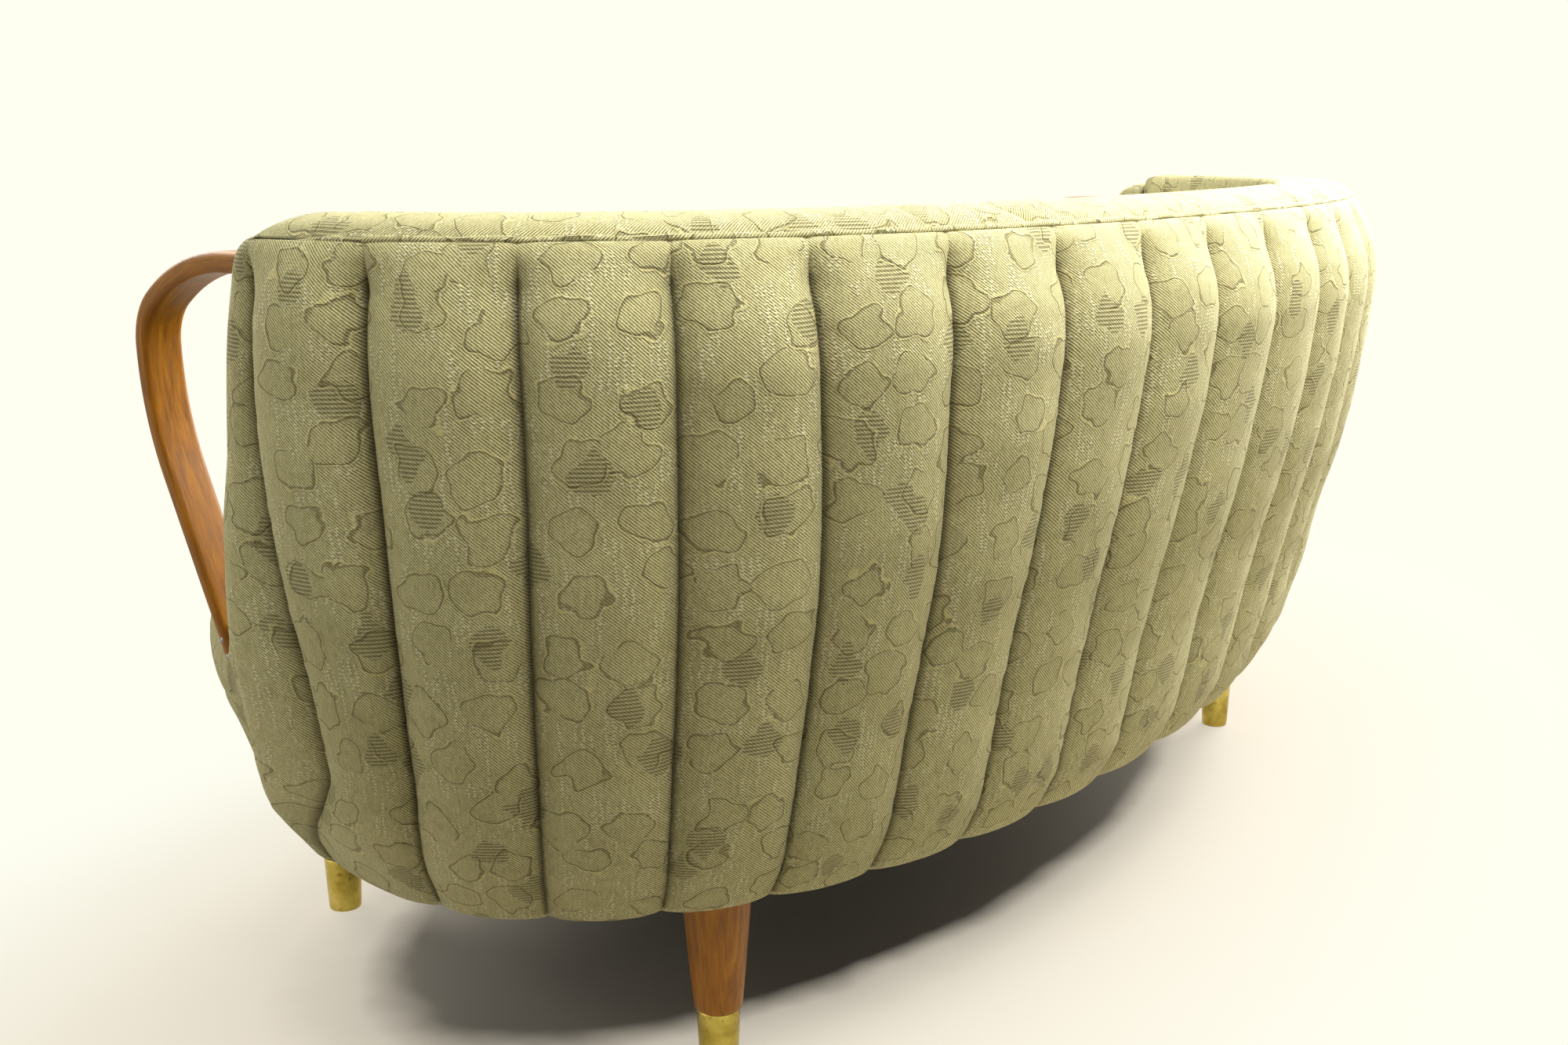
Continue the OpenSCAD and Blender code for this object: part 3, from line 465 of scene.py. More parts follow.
# the cloth's pattern, with periods in metres and scales in cells per metre
CLOTH_A, CLOTH_B = srgb(212, 206, 147), srgb(224, 218, 161)
TWILL, ROWS, RIBS, FRINGE = 0.0020, 0.0042, 0.0034, 0.0028
PEBBLES, PEBBLE_SPREAD = 18.6, 0.52
PATCHES, PATCH_SPREAD, POINTED = 10.6, 0.95, 1.3
DOTS, DOT_SPREAD = 200.0, 0.45


def jacquard():
    """Sage cloth with a fine twill, pebble outlines, small ribbed patches and rows of raised dots."""
    m, g, bsdf = material("jacquard_cloth")
    # a slow wander of the threads
    uv = g.wander(g.uv("cloth"), 9.0, 0.006)
    x, y, _ = g.parts(uv)
    # twill: thin lines rising to the right, broken by the slubs of the yarn
    slub = g.noise(g.mapped(uv, (1.0, 0.35, 1.0)), 420.0, 2.0, 0.6)
    twill = g.band(g.math("SUBTRACT", g.math("MULTIPLY", x, 0.70), g.math("MULTIPLY", y, 0.71)), TWILL)
    twill = g.step(g.math("MULTIPLY_ADD", slub, 0.9, g.math("SUBTRACT", twill, 0.45)), 0.2, 0.8)
    rows = g.band(x, ROWS)
    yarn = g.noise(uv, 760.0, 2.0, 0.65)
    coarse = g.noise(g.mapped(uv, (1.0, 0.5, 1.0)), 150.0, 3.0, 0.7)
    # pebble outlines, each with small lobes and a lighter rim, which is a painted highlight on the raised
    # edge
    warped = g.wander(uv, 24.0, 0.016)
    lobes = g.math("SUBTRACT", g.noise(uv, 62.0, 0.0, 0.5), 0.5)
    nibble = g.math("SUBTRACT", g.noise(uv, 330.0, 1.0, 0.5), 0.5)
    cell = g.mapped(warped, (1.0, 1.04, 1.0))
    sizes = g.node("ShaderNodeSeparateColor")
    g.put(sizes.inputs[0], g.cells(cell, PEBBLES, PEBBLE_SPREAD, "Color"))
    radius = g.math("MULTIPLY_ADD", sizes.outputs[0], 0.09, 0.29)
    off = g.math("SUBTRACT", g.cells(cell, PEBBLES, PEBBLE_SPREAD), radius)
    off = g.pile(off, (lobes, 0.34), (nibble, 0.035))
    gaps = g.step(g.noise(uv, 27.0, 0.0, 0.5), 0.30, 0.34)
    line = g.math("MULTIPLY", g.near_line(off, 0.011, 0.014), gaps)
    # painted highlight: a lighter ring just outside each outline
    painted_rim_highlight = g.math("MULTIPLY", g.near_line(g.math("SUBTRACT", off, 0.032), 0.010, 0.014), gaps)
    inside = g.inverse(g.step(off, -0.01, 0.01))
    # small ribbed patches, with ragged pointed sides
    moved = g.mapped(g.vmath("ADD", warped, (0.031, 0.044, 0.0)), (1.12, 0.9, 1.0))
    patch = g.pile(g.cells(moved, PATCHES, PATCH_SPREAD, distance="MINKOWSKI"), (lobes, 0.20), (nibble, 0.07))
    patch_area = g.inverse(g.step(patch, 0.165, 0.18))
    ribs = g.math("MULTIPLY", g.step(g.band(y, RIBS), 0.25, 0.7), patch_area)
    fringe = g.math("MULTIPLY", g.near_line(g.math("SUBTRACT", patch, 0.20), 0.008, 0.02),
                    g.step(g.band(y, FRINGE, 1.0), 0.4, 0.7))
    # raised dots in loose upright rows, outside the pebbles and the patches
    dot = g.inverse(g.step(g.cells(g.mapped(uv, (0.85, 1.5, 1.0)), DOTS, DOT_SPREAD), 0.16, 0.34))
    field = g.step(g.noise(g.mapped(uv, (2.4, 0.7, 1.0)), 34.0, 1.0, 0.5), 0.50, 0.57)
    plain = g.inverse(g.math("MAXIMUM", g.math("MULTIPLY", inside, 0.8), patch_area))
    dot = g.math("MULTIPLY", g.math("MULTIPLY", dot, field), plain)
    # colour
    ground = g.mix(g.noise(g.place(), 3.0, 3.0, 0.5), CLOTH_A, CLOTH_B)
    ground = g.lay(ground, (g.inverse(twill), 0.86, srgb(108, 98, 54)),
                   (g.step(yarn, 0.45, 0.70), 0.42, srgb(232, 226, 182)),
                   (g.step(coarse, 0.50, 0.72), 0.26, srgb(112, 104, 62)),
                   (rows, 0.07, srgb(112, 104, 62)), (inside, 0.10, srgb(160, 152, 100)),
                   (ribs, 0.56, srgb(84, 74, 36)),
                   (g.math("SUBTRACT", patch_area, ribs), 0.30, srgb(212, 204, 152)),
                   (fringe, 0.30, srgb(222, 214, 160)), (line, 0.52, srgb(92, 80, 36)),
                   (painted_rim_highlight, 0.42, srgb(232, 220, 150)), (dot, 0.72, srgb(236, 230, 190)))
    # painted shade in the sewn folds, darker near each sewn line: the layer holds how near a sewn line each
    # point is
    fold = g.parts(g.uv("fold"))[0]
    painted_groove_shade = g.math("MULTIPLY_ADD", g.step(fold, 0.90, 1.0), 0.55,
                   g.math("MULTIPLY", g.step(fold, 0.6, 1.0), 0.16))
    bsdf.inputs["Specular IOR Level"].default_value = 0.2
    bsdf.inputs["Sheen Weight"].default_value = 0.25
    bsdf.inputs["Sheen Roughness"].default_value = 0.5
    bsdf.inputs["Sheen Tint"].default_value = srgb(240, 234, 200)
    height = g.pile(g.math("MULTIPLY", twill, 0.55), (yarn, 0.35), (coarse, 0.45), (line, -0.75), (painted_rim_highlight, 0.90),
                    (ribs, -0.85), (fringe, 0.45), (dot, 0.65), (inside, 0.25))
    # painted shade: the cloth is mixed towards a dark colour near the sewn lines
    finish(g, bsdf, g.mix(painted_groove_shade, ground, srgb(72, 62, 30)), g.math("MULTIPLY_ADD", yarn, 0.12, 0.82),
           g.bump(height, 0.0013))
    return m


GRAIN = 9.0  # how many times finer the wood's grain is across than along


def wood(name, bent, light, mid, dark, coat=0.08, rough=0.42, specular=0.3):
    """Wood whose grain runs along a bent piece's cloth layer, or else straight up."""
    m, g, bsdf = material(name)
    at = g.uv("cloth") if bent else g.place()

    def stretched(across):
        return g.mapped(at, (1.0 if bent else across, across, 1.0))

    v = stretched(GRAIN)
    broad = g.noise(v, 7.0, 3.0, 0.55)
    bend = g.vmath("SCALE", g.noise(v, 2.5, 2.0, 0.5, 1), scale=0.35)
    wave = g.noise(g.vmath("ADD", v, bend), 22.0, 4.0, 0.62)
    pores = g.noise(stretched(GRAIN * GRAIN), 26.0, 3.0, 0.7)
    wear = g.noise(at, 160.0, 2.0, 0.5)
    colour = g.lay(g.ramp(wave, [(0.25, dark), (0.5, mid), (0.74, light)]), (broad, 0.45, mid),
                   (g.step(pores, 0.56, 0.72), 0.42, dark),
                   (g.step(wear, 0.78, 0.80), 0.5, srgb(226, 205, 160)))
    bsdf.inputs["Specular IOR Level"].default_value = specular
    bsdf.inputs["Coat Weight"].default_value = coat
    bsdf.inputs["Coat Roughness"].default_value = 0.22
    height = g.pile(g.math("MULTIPLY", wave, 0.4), (g.step(pores, 0.5, 0.7), -0.5))
    finish(g, bsdf, colour, g.math("MULTIPLY_ADD", wave, 0.16, rough - 0.08), g.bump(height, 0.0004, 0.5))
    return m


def brass():
    m, g, bsdf = material("aged_brass")
    at = g.place()
    cloud = g.noise(at, 34.0, 4.0, 0.6)
    fine = g.noise(at, 240.0, 3.0, 0.6)
    brushed = g.noise(g.mapped(at, (40.0, 40.0, 400.0)), 2.0, 2.0, 0.5)
    colour = g.ramp(cloud, [(0.3, srgb(150, 128, 48)), (0.52, srgb(188, 168, 82)),
                            (0.75, srgb(212, 194, 112))])
    spots = g.step(g.noise(at, 95.0, 3.0, 0.65), 0.60, 0.70)
    bsdf.inputs["Metallic"].default_value = 1.0
    rough = g.math("MULTIPLY_ADD", fine, 0.16, g.math("MULTIPLY_ADD", spots, 0.16, 0.24))
    height = g.pile(g.math("MULTIPLY", spots, -0.6), (brushed, 0.4))
    finish(g, bsdf, g.lay(colour, (spots, 0.65, srgb(122, 82, 40))), rough, g.bump(height, 0.00025, 0.5))
    return m


def weave(name, light, dark, period, rough=0.9):
    """A plain woven cloth, seen over and under on both thread directions."""
    m, g, bsdf = material(name)
    at = g.place()
    x, y, z = g.parts(at)
    a = g.math("SINE", g.math("MULTIPLY", x, 2 * math.pi / period))
    b = g.math("SINE", g.math("MULTIPLY", g.math("ADD", y, z), 2 * math.pi / period))
    cross = g.math("MULTIPLY_ADD", g.math("MULTIPLY", a, b), 0.5, 0.5)
    fuzz = g.noise(at, 420.0, 3.0, 0.6)
    slow = g.noise(at, 14.0, 2.0, 0.5)
    colour = g.lay(g.mix(cross, dark, light), (fuzz, 0.35, light), (slow, 0.25, dark))
    finish(g, bsdf, colour, g.math("MULTIPLY_ADD", fuzz, 0.1, rough - 0.05),
           g.bump(g.pile(cross, (fuzz, 0.4)), period * 0.3, 0.7))
    return m


def steel():
    m, g, bsdf = material("plain_steel")
    at = g.place()
    cloud = g.noise(at, 60.0, 3.0, 0.6)
    fine = g.noise(at, 600.0, 2.0, 0.6)
    bsdf.inputs["Metallic"].default_value = 1.0
    finish(g, bsdf, g.ramp(cloud, [(0.3, srgb(96, 96, 96)), (0.7, srgb(150, 150, 148))]),
           g.math("MULTIPLY_ADD", fine, 0.2, 0.34), g.bump(fine, 0.0001, 0.4))
    return m


cloth = jacquard()
# the arms stand in stronger light than the legs, so their copy of the wood is painted darker to offset it as
# painted shade, and their lacquer is duller
arm_wood = wood("honey_arm_wood", True, srgb(172, 114, 8), srgb(138, 85, 2), srgb(90, 52, 0),
                coat=0.03, specular=0.16)
BY_SLOT = {
    "fabric": cloth,
    "honey_wood": wood("honey_leg_wood", False, srgb(196, 134, 16), srgb(162, 101, 6), srgb(104, 60, 2)),
    "brass": brass(),
    "frame_timber": wood("sawn_timber", False, srgb(214, 186, 140), srgb(196, 164, 116), srgb(160, 126, 82),
                         coat=0.0, rough=0.7),
    "steel": steel(),
    "jute_webbing": weave("jute_webbing", srgb(188, 160, 112), srgb(120, 96, 60), 0.0030),
    "hessian": weave("hessian_cloth", srgb(196, 168, 118), srgb(118, 94, 58), 0.0026),
    "dust_cloth": weave("black_lining", srgb(52, 50, 48), srgb(18, 17, 17), 0.0012)}
SMOOTH_SLOTS = ("honey_wood", "brass", "steel")
slots = {p["node"]: p["material_slot"] for p in frame["record"]["subparts"]}
for name, obj in frame["nodes"].items():
    obj.data.materials.clear()
    obj.data.materials.append(BY_SLOT[slots[name]])
    for p in obj.data.polygons:
        p.use_smooth = True
    if slots[name] in SMOOTH_SLOTS:
        weld = obj.modifiers.new("weld", "WELD")
        weld.merge_threshold = 0.00001
    obj.data.set_sharp_from_angle(angle=math.radians(28))


# Outer back

CHANNEL_COLUMNS = 22
SEAM_BAND, FOOT_BAND, HEM_ROUND = 62, 40, 6  # heights in which the rows gather, and the hem's rounding
SEAM_ROWS, BODY_ROWS, FOOT_ROWS = 20, 82, 9
FADE = 42  # height over which the grooves fade out at the seam and at the hem
SEAM_GROOVE, END_GROOVE = 0.14, 0.12  # shares of the groove that stay at the seam and on a wing's inner side
LUMP, UNEVEN, PULL = 0.9, 0.8, 0.55
SHOULDER_ROUND, END_ROUND = 34, 24  # height and depth of the rounding over a wing's end
ARM_HOLE_Z, ARM_HOLE_DEPTH = 725, 3.2
# how deep the channels are sewn at these heights, just less than the cover and its wadding are thick
COVER_Z = [176, 205, 300, 420, 750]
COVER_THICK = [13.5, 14.2, 22.6, 25, 25]
# the cover's inner side, from the hem up: heights and depths below the crest surface
INNER_SIDE = ((HEM_Z, 18), (HEM_Z + 6, 34), (HEM_Z + 13.6, 43), (HEM_Z + 14.2, 42), (HEM_Z + 14.3, 15.5),
              (205, 16), (300, 24.5), (420, 26.5), (560, 26.5), (680, 26.5), (737, 26.5))
# the top edge, from inside to the seam: share of the way to a wing end's middle, rise there, and
# elsewhere height and depth
TOP_EDGE = ((0.93, 5.0, 739, 24), (0.7, 2.9, 743, 15), (0.35, 4.6, 746.4, 7.5), (0.12, 2.4, 748.8, 2.6))


def channel_columns(edges):
    """Columns gathered at the sewn lines: their places, how near to a line (1), and their channels."""
    count = len(edges) - 1
    f = (1 - np.cos(np.pi * np.arange(CHANNEL_COLUMNS) / CHANNEL_COLUMNS)) / 2
    us = np.concatenate([mix(lo, hi, f) for lo, hi in zip(edges, edges[1:])] + [edges[-1:]])
    ws = np.append(np.tile(np.abs(2 * f - 1), count), 1.0)
    ks = np.append(np.repeat(np.arange(count), CHANNEL_COLUMNS), count - 1)
    return us, ws, ks


def relief(w):
    """How deep the cover lies between two sewn lines, as a share of the groove."""
    return 1 - np.power(np.maximum(0, 1 - np.power(w, 2.1)), 0.60)


def cover_depth(U, Z, W, K):
    """Depth of the cover below its crest surface."""
    down = np.clip((SEAM_Z - Z) / FADE, 0, 1)
    up = np.clip((Z - HEM_Z) / FADE, 0, 1)
    inner = smoothstep((np.abs(U) - HALF) / END_ARC * 2 - 1)
    depth = np.interp(Z, COVER_Z, COVER_THICK) * mix(SEAM_GROOVE, 1, smoothstep(down)) * relief(W)
    depth = depth * mix(1, END_GROOVE, inner)
    # each channel is stuffed a little differently, with soft pulls beside the stitching
    lump = np.random.RandomState(7).uniform(-LUMP, LUMP, 40)[K]
    depth -= (lump + UNEVEN * waves(Z + 61 * K, 3, 150)) * (1 - W ** 2) * smoothstep(down) * up
    depth += PULL * waves(Z + 37 * K, 11, 26) * np.exp(-((W - 0.86) / 0.12) ** 2) * down
    # the wings' ends round over to their tops
    past = np.clip(np.abs(U) - HALF, 0, None) / END_ARC
    turned = np.sin(np.clip(past, 0, 1) * np.pi) ** 0.7 * 0.85 + 0.15 * past
    t = np.clip((Z - (SEAM_Z - SHOULDER_ROUND)) / SHOULDER_ROUND, 0, 1)
    depth += END_ROUND * turned * (1 - np.sqrt(np.maximum(0, 1 - t * t)))
    # the cover is drawn in where the arm passes through it
    away = np.hypot((np.abs(past - 0.5) * END_ARC) / 30, (Z - ARM_HOLE_Z) / 24)
    return depth + ARM_HOLE_DEPTH * np.exp(-away ** 4) * (np.abs(U) > HALF)


def outer_back_cover():
    edges = np.concatenate([[-HALF - END_ARC], -GROOVES[:0:-1], GROOVES, [HALF + END_ARC]])
    us, ws, ks = channel_columns(edges)
    top = SEAM_Z - SEAM_BAND * (1 - np.cos(np.linspace(0, np.pi / 2, SEAM_ROWS)))
    body = np.linspace(top[-1], HEM_Z + FOOT_BAND, BODY_ROWS)[1:]
    foot = (1 - np.sin(np.linspace(0, np.pi / 2, FOOT_ROWS)))[1:]
    zs = np.concatenate([top, body, HEM_Z + HEM_ROUND + (FOOT_BAND - HEM_ROUND) * foot])
    cols, rows = len(us), len(zs)
    U, Z = np.meshgrid(us, zs, indexing="ij")
    W = np.repeat(ws[:, None], rows, 1)
    depth = cover_depth(U, Z, W, np.repeat(ks[:, None], rows, 1))
    # the sewn lines wander a little
    lines = np.array([drift(k, zs) for k in range(-LAST_LINE - 1, LAST_LINE + 2)])
    across = np.repeat(((us - edges[ks]) / (edges[ks + 1] - edges[ks]))[:, None], rows, 1)
    U = U + mix(lines[ks], lines[ks + 1], across)
    parts = [wrap(U, Z, depth)]
    hem = U[:, -1:]
    for a in np.radians([30, 60, 90]):
        z = np.full((cols, 1), HEM_Z + HEM_ROUND - HEM_ROUND * math.sin(a))
        parts.append(wrap(hem, z, depth[:, -1:] + HEM_ROUND * (1 - math.cos(a))))
    for z, d in INNER_SIDE:
        parts.append(wrap(hem, np.full((cols, 1), float(z)), np.full((cols, 1), float(d))))
    # the top edge rolls in under the back pads, and closes over the rounded wing ends
    ring = wrap(us, np.full(cols, SEAM_Z), depth[:, 0])
    core = wrap(np.sign(us + 1e-9) * HALF, np.full(cols, SEAM_Z), np.full(cols, END_R))
    end = np.abs(us) > HALF + 1e-6
    for f, rise, z, d in TOP_EDGE:
        rolled = wrap(us, np.full(cols, float(z)), np.full(cols, float(d)))
        closed = mix(ring, core, f)
        closed[:, 2] = SEAM_Z + rise
        parts.append(np.where(end[:, None], closed, rolled)[:, None, :])
    loops = np.concatenate(parts, axis=1)
    obj = new_object("outer_back_cover", loops.reshape(-1, 3), loft_faces(loops.shape[1], cols))
    hang = SEAM_Z - run_along(loops)
    narrow = wrap_turn(np.clip(hang, HEM_Z, SEAM_Z)) / END_WRAP
    past = np.maximum(0, np.abs(us) - HALF)[:, None]
    cloth_u = np.sign(us)[:, None] * (np.minimum(np.abs(us), HALF)[:, None] + past * narrow[None, :])
    set_uv(obj, pairs(cloth_u, hang[None, :]) / 1000.0)
    # the fold layer places the painted shade along the sewn grooves
    fold = np.zeros(loops.shape[:2])
    fold[:, :rows] = W * smoothstep((SEAM_Z - Z) / FADE * 1.4)
    set_uv(obj, pairs(fold, 0.0), "fold")
    finish_piece(obj, cloth, "fabric", "outer_back")


# Seam welt

WELT_R, WELT_SIDES, WELT_POINTS = 3.2, 8, 420
WELT_STOP = 40  # how far short of the wings' ends it stops
WELT_UP, WELT_UNEVEN = 1.2, 0.5  # above the seam, and how unevenly
WELT_SINK, WELT_TUCK = 5.0, 2.0  # how far its ends go down and in
WELT_END, WELT_FADE = 90, 50  # where they start to, and in what length


def seam_welt():
    """A soft cord of cloth in the seam between the outer back and the pads."""
    u = np.linspace(-HALF + WELT_STOP, HALF - WELT_STOP, WELT_POINTS)
    ends = smoothstep((np.abs(u) - HALF + WELT_END) / WELT_FADE)
    line = wrap(u, SEAM_Z + WELT_UP - WELT_SINK * ends, WELT_R + WELT_TUCK * ends)
    line[:, 2] += WELT_UNEVEN * waves(u, 5, 70)
    tangent = np.gradient(line, axis=0)
    tangent /= np.linalg.norm(tangent, axis=1)[:, None]
    a = np.cross(tangent, np.array([0, 0, 1.0]))
    a /= np.linalg.norm(a, axis=1)[:, None]
    b = np.cross(a, tangent)
    turns = np.linspace(0, 2 * math.pi, WELT_SIDES, endpoint=False)
    loops = np.array([line + WELT_R * (math.cos(q) * a + math.sin(q) * b) for q in turns]).transpose(1, 0, 2)
    obj = new_object("seam_welt", loops.reshape(-1, 3), loft_faces(WELT_SIDES, len(line)))
    set_uv(obj, pairs(run_along(line)[:, None], np.arange(WELT_SIDES)[None, :] * 2.0) / 1000)
    finish_piece(obj, cloth, "fabric")


# Back pads

PAD_HALF = 397.0  # half the length of the centre pad
PAD_COLUMNS = 96
PAD_FOOT = 402.0
PAD_CROWN = 19  # height of the pads' tops above the seam
NOTCH, NOTCH_ROUND = 50, 9.0  # lengths over which a pad's ends draw in and round off
LEAN = 65  # how much deeper the pads are at their foot
FRAME_FACE = 26 + 38  # the outer cover and the top rail
FRAME_LEAN, LEAN_TOP, LEAN_DROP = 50, 738, 350.0  # how far the frame leans in, from a height, over a drop
PAD_FRONT = 101.6  # from the seam to the pads' fronts
PAD_SWELL, SWELL_REACH = 9, 170  # how far the fronts are crowned, and in what length from an end
SWELL_LOW, SWELL_HIGH = 440, 700  # from and to what height
PAD_MIDDLE, PAD_MIDDLE_Z = 62.0, 560.0  # where a pad's ends roll in to
# the pads' tops, as shares of the wings' thickness and of the crown's height, then their fronts, as
# shares of the height down and of the lean
CROWN = [(0.1, 0.62), (0.28, 0.94), (0.5, 1.0), (0.74, 0.82)]
FRONT = [(0.16, 0), (0.4, 0.3), (0.64, 0.66), (0.86, 0.95), (1, 1)]


def frame_in(z):
    """How far out from the seam the frame's inner face lies."""
    return -FRAME_FACE - FRAME_LEAN * np.maximum(0, (LEAN_TOP - z) / LEAN_DROP)


def lean_at(s):
    return LEAN * mix(1, 0.3, toward_tip(s) ** 4)


def catmull(points, n):
    """A smooth run through points, n samples to each span."""
    p = np.vstack([2 * points[0] - points[1], points, 2 * points[-1] - points[-2]])
    out = []
    for i in range(1, len(p) - 2):
        t = np.linspace(0, 1, n, endpoint=False)[:, None]
        a, b, c, d = p[i - 1], p[i], p[i + 1], p[i + 2]
        square, cube = 2 * a - 5 * b + 4 * c - d, 3 * b - a - 3 * c + d
        out.append(0.5 * (2 * b + (c - a) * t + square * t ** 2 + cube * t ** 3))
    return np.vstack(out + [points[-1:]])


def pad_loop(s, to_end):
    """A closed loop round a pad at s, where its nearer end is this far off."""
    t = min(max(1 - to_end / NOTCH, 0), 1)
    e = (1 - t ** 2.5) ** 0.62
    edge = min(max(1 - to_end / NOTCH_ROUND, 0), 1)
    tuck = 1 - math.sqrt(max(0, 1 - edge * edge))
    lean = float(lean_at(s))
    top = PAD_CROWN * mix(0.12, 1, e)
    drawn = 16 * (e - 1)
    pts = [(-0.5, SEAM_Z + 0.8)]
    pts += [(-WING * a, SEAM_Z + top * b) for a, b in CROWN]
    pts += [(-WING * 0.93 - drawn, SEAM_Z + top * 0.62)]
    pts += [(-PAD_FRONT - lean * b - drawn, mix(SEAM_Z, PAD_FOOT, a)) for a, b in FRONT]
    pts = catmull(np.array(pts), 5)
    # the front is crowned, and softly uneven where people lean on it
    crown = PAD_SWELL * (1 - max(1 - to_end / SWELL_REACH, 0) ** 2) + 1.5 * float(waves(s, 21, 190))
    up = np.clip((pts[:, 1] - SWELL_LOW) / (SWELL_HIGH - SWELL_LOW), 0, 1)
    full = np.sin(np.pi * up) ** 0.7 * (pts[:, 0] < -95)
    pts[:, 0] -= full * (crown + 1.1 * waves(pts[:, 1] + 0.6 * s, 22, 110))
    # the ends roll in towards the notches
    inward = np.array([-PAD_MIDDLE - lean * 0.3, PAD_MIDDLE_Z]) - pts
    inward = inward / np.linalg.norm(inward, axis=1)[:, None]
    pts = pts + inward * (5.0 * tuck) * np.minimum(1, (pts[:, 1:2] - PAD_FOOT) / 20)
    inner = [(frame_in(PAD_FOOT) - 6, PAD_FOOT), (frame_in(693) - 6, 693), (-66.5, 740.0), (-27.6, 740.5),
             (-3.2, 750.0)]
    line = np.vstack([pts, inner])
    x, y = plan(swept(np.full(len(line), s), line[:, 1]), line[:, 0])
    return np.stack([x, y, line[:, 1]], -1)


def back_pad(name, node, lo, hi):
    t = np.linspace(0, 1, PAD_COLUMNS)
    columns = mix(lo + 1.0, hi - 1.0, mix(t, (1 - np.cos(np.pi * t)) / 2, 0.75))
    loops = np.array([pad_loop(s, min(s - columns[0], columns[-1] - s)) for s in columns])
    obj = new_object(name, loops.reshape(-1, 3), loft_faces(loops.shape[1], PAD_COLUMNS))
    set_uv(obj, pairs((columns + 213)[:, None], (SEAM_Z + 70 - run_along(loops))[None, :]) / 1000)
    finish_piece(obj, cloth, "fabric", node)


# Seat and front border

SEAT_W, REACH, HOLLOW = 818.0, 500.0, 120.0  # half width, depth before the wings, hollow of the front edge
SEAT_Y = SEAM_Y[-1] - 22
DECK, EDGE, SEAT_CROWN = 333.0, 412.0, 38.0
WING_GAP, BORDER_GAP = 2.0, 1.5
OUTLINE_POINTS = 150
PATTERN_SHIFT = 35
SEAT_UNEVEN = 1.3
# the swelling by each arm's foot: its place, half width, half length, rise and lowest height
BULGE_X, BULGE_Y, BULGE_WIDE, BULGE_LONG, BULGE_RISE, BULGE_Z = 812, -165, 26, 46, 14, 385
BORDER_IN, BORDER_IN_SIDE, BORDER_TUCK = 16, 70, 36  # how far in its foot, sides and ends lie
# the cushion's side from the border up to its rolled edge: height, and how far it stands out
SEAT_SIDE = ((DECK + 0.4, -9), (DECK + 0.4, -2.2), (337, 0.0), (346, 2.6), (358, 4.6), (370, 5.2),
             (382, 4.4), (392, 2.2), (400, -1.5), (406.5, -6.5), (411.5, -13))
SEAT_RINGS = (0.985, 0.965, 0.935, 0.895, 0.85, 0.80, 0.74, 0.67, 0.58, 0.48, 0.37, 0.25, 0.12)
# the border's lining side, from the hem up: height and thickness
BORDER_COLUMNS = 260
BORDER_LINING = ((HEM_Z + 1.6, 3.5), (HEM_Z, 8), (HEM_Z, 18), (HEM_Z + 6, 32), (HEM_Z + 13.4, 40),
                 (HEM_Z + 14.2, 38), (HEM_Z + 14.3, 12), (210, 13), (260, 15), (DECK - 0.5, 17))


def front(a, out):
    """The seat's front outline in plan, where a is 0 degrees in the middle and 90 at the side."""
    a = np.asarray(a, float)

    def at(q):
        r = np.radians(q)
        x = SEAT_W * np.sin(r)
        hollow = HOLLOW * np.maximum(0, 1 - (x / (0.72 * SEAT_W)) ** 2) ** 1.25
        return x, SEAT_Y - REACH * np.cos(r) + hollow
    x, y = at(a)
    x2, y2 = at(a + 0.5)
    x1, y1 = at(a - 0.5)
    dx, dy = x2 - x1, y2 - y1
    n = np.hypot(dx, dy)
    return x + out * dy / n, y - out * dx / n + SHIFT


def wing_end(z, gap):
    """Centre and radius of the right wing's rounded end at height z, in plan."""
    s = float(swept(HALF, z))
    mx, my = plan(s, -(END_R + float(inset_at(z, s))))
    return np.array([float(mx), float(my)]), END_R + 0.6 * float(shoulder_at(z, s)) + gap


def front_stop(z, out, gap):
    """The angle at which the front outline meets the wing end. out is a function of the angle."""
    c, r = wing_end(z, gap)
    a = np.linspace(70, 92, 221)
    x, y = front(a, out(a))
    hit = np.hypot(x - c[0], y - c[1]) < r
    return float(a[hit.argmax()]) if hit.any() else 88.0


def seat_outline(z, out):
    """The seat's right half at height z, from the middle of the front to the middle of the back."""
    x, y = front(np.linspace(0, front_stop(z, lambda a: out, WING_GAP), 400), out)
    c, r = wing_end(z, WING_GAP)
    arc = np.linspace(math.atan2(y[-1] - c[1], x[-1] - c[0]), -math.pi + math.radians(-6), 30)[1:]
    s = np.linspace(HALF, 0, 300)
    foot = np.full_like(s, float(max(z, PAD_FOOT)))
    px, py = plan(swept(s, foot), -104.5 - lean_at(s) * (1.0 if z < 420 else 0.95))
    back = np.stack([px, py], -1)
    line = np.vstack([np.stack([x, y], -1), c + r * np.stack([np.cos(arc), np.sin(arc)], -1),
                      back[np.hypot(back[:, 0] - c[0], back[:, 1] - c[1]) > r]])
    run = run_along(line)
    t = np.linspace(0, run[-1], OUTLINE_POINTS)
    return np.stack([np.interp(t, run, line[:, 0]), np.interp(t, run, line[:, 1])], -1)


def both_sides(half):
    left = half[-2:0:-1].copy()
    left[:, 0] *= -1
    return np.vstack([half, left])


def softened(line, width):
    """A closed line with its corners evened out over this many of its points."""
    n = int(3 * width) + 1
    w = np.exp(-0.5 * (np.arange(-n, n + 1) / max(width, 0.3)) ** 2)
    reach = np.arange(len(line))[:, None] + np.arange(-n, n + 1)[None, :]
    return (line[reach % len(line)] * (w / w.sum())[None, :, None]).sum(1)


FRONT_X, FRONT_Y = front(np.linspace(-95, 95, 1901), 0)
AT_ONCE = 8000  # points measured against that line at once


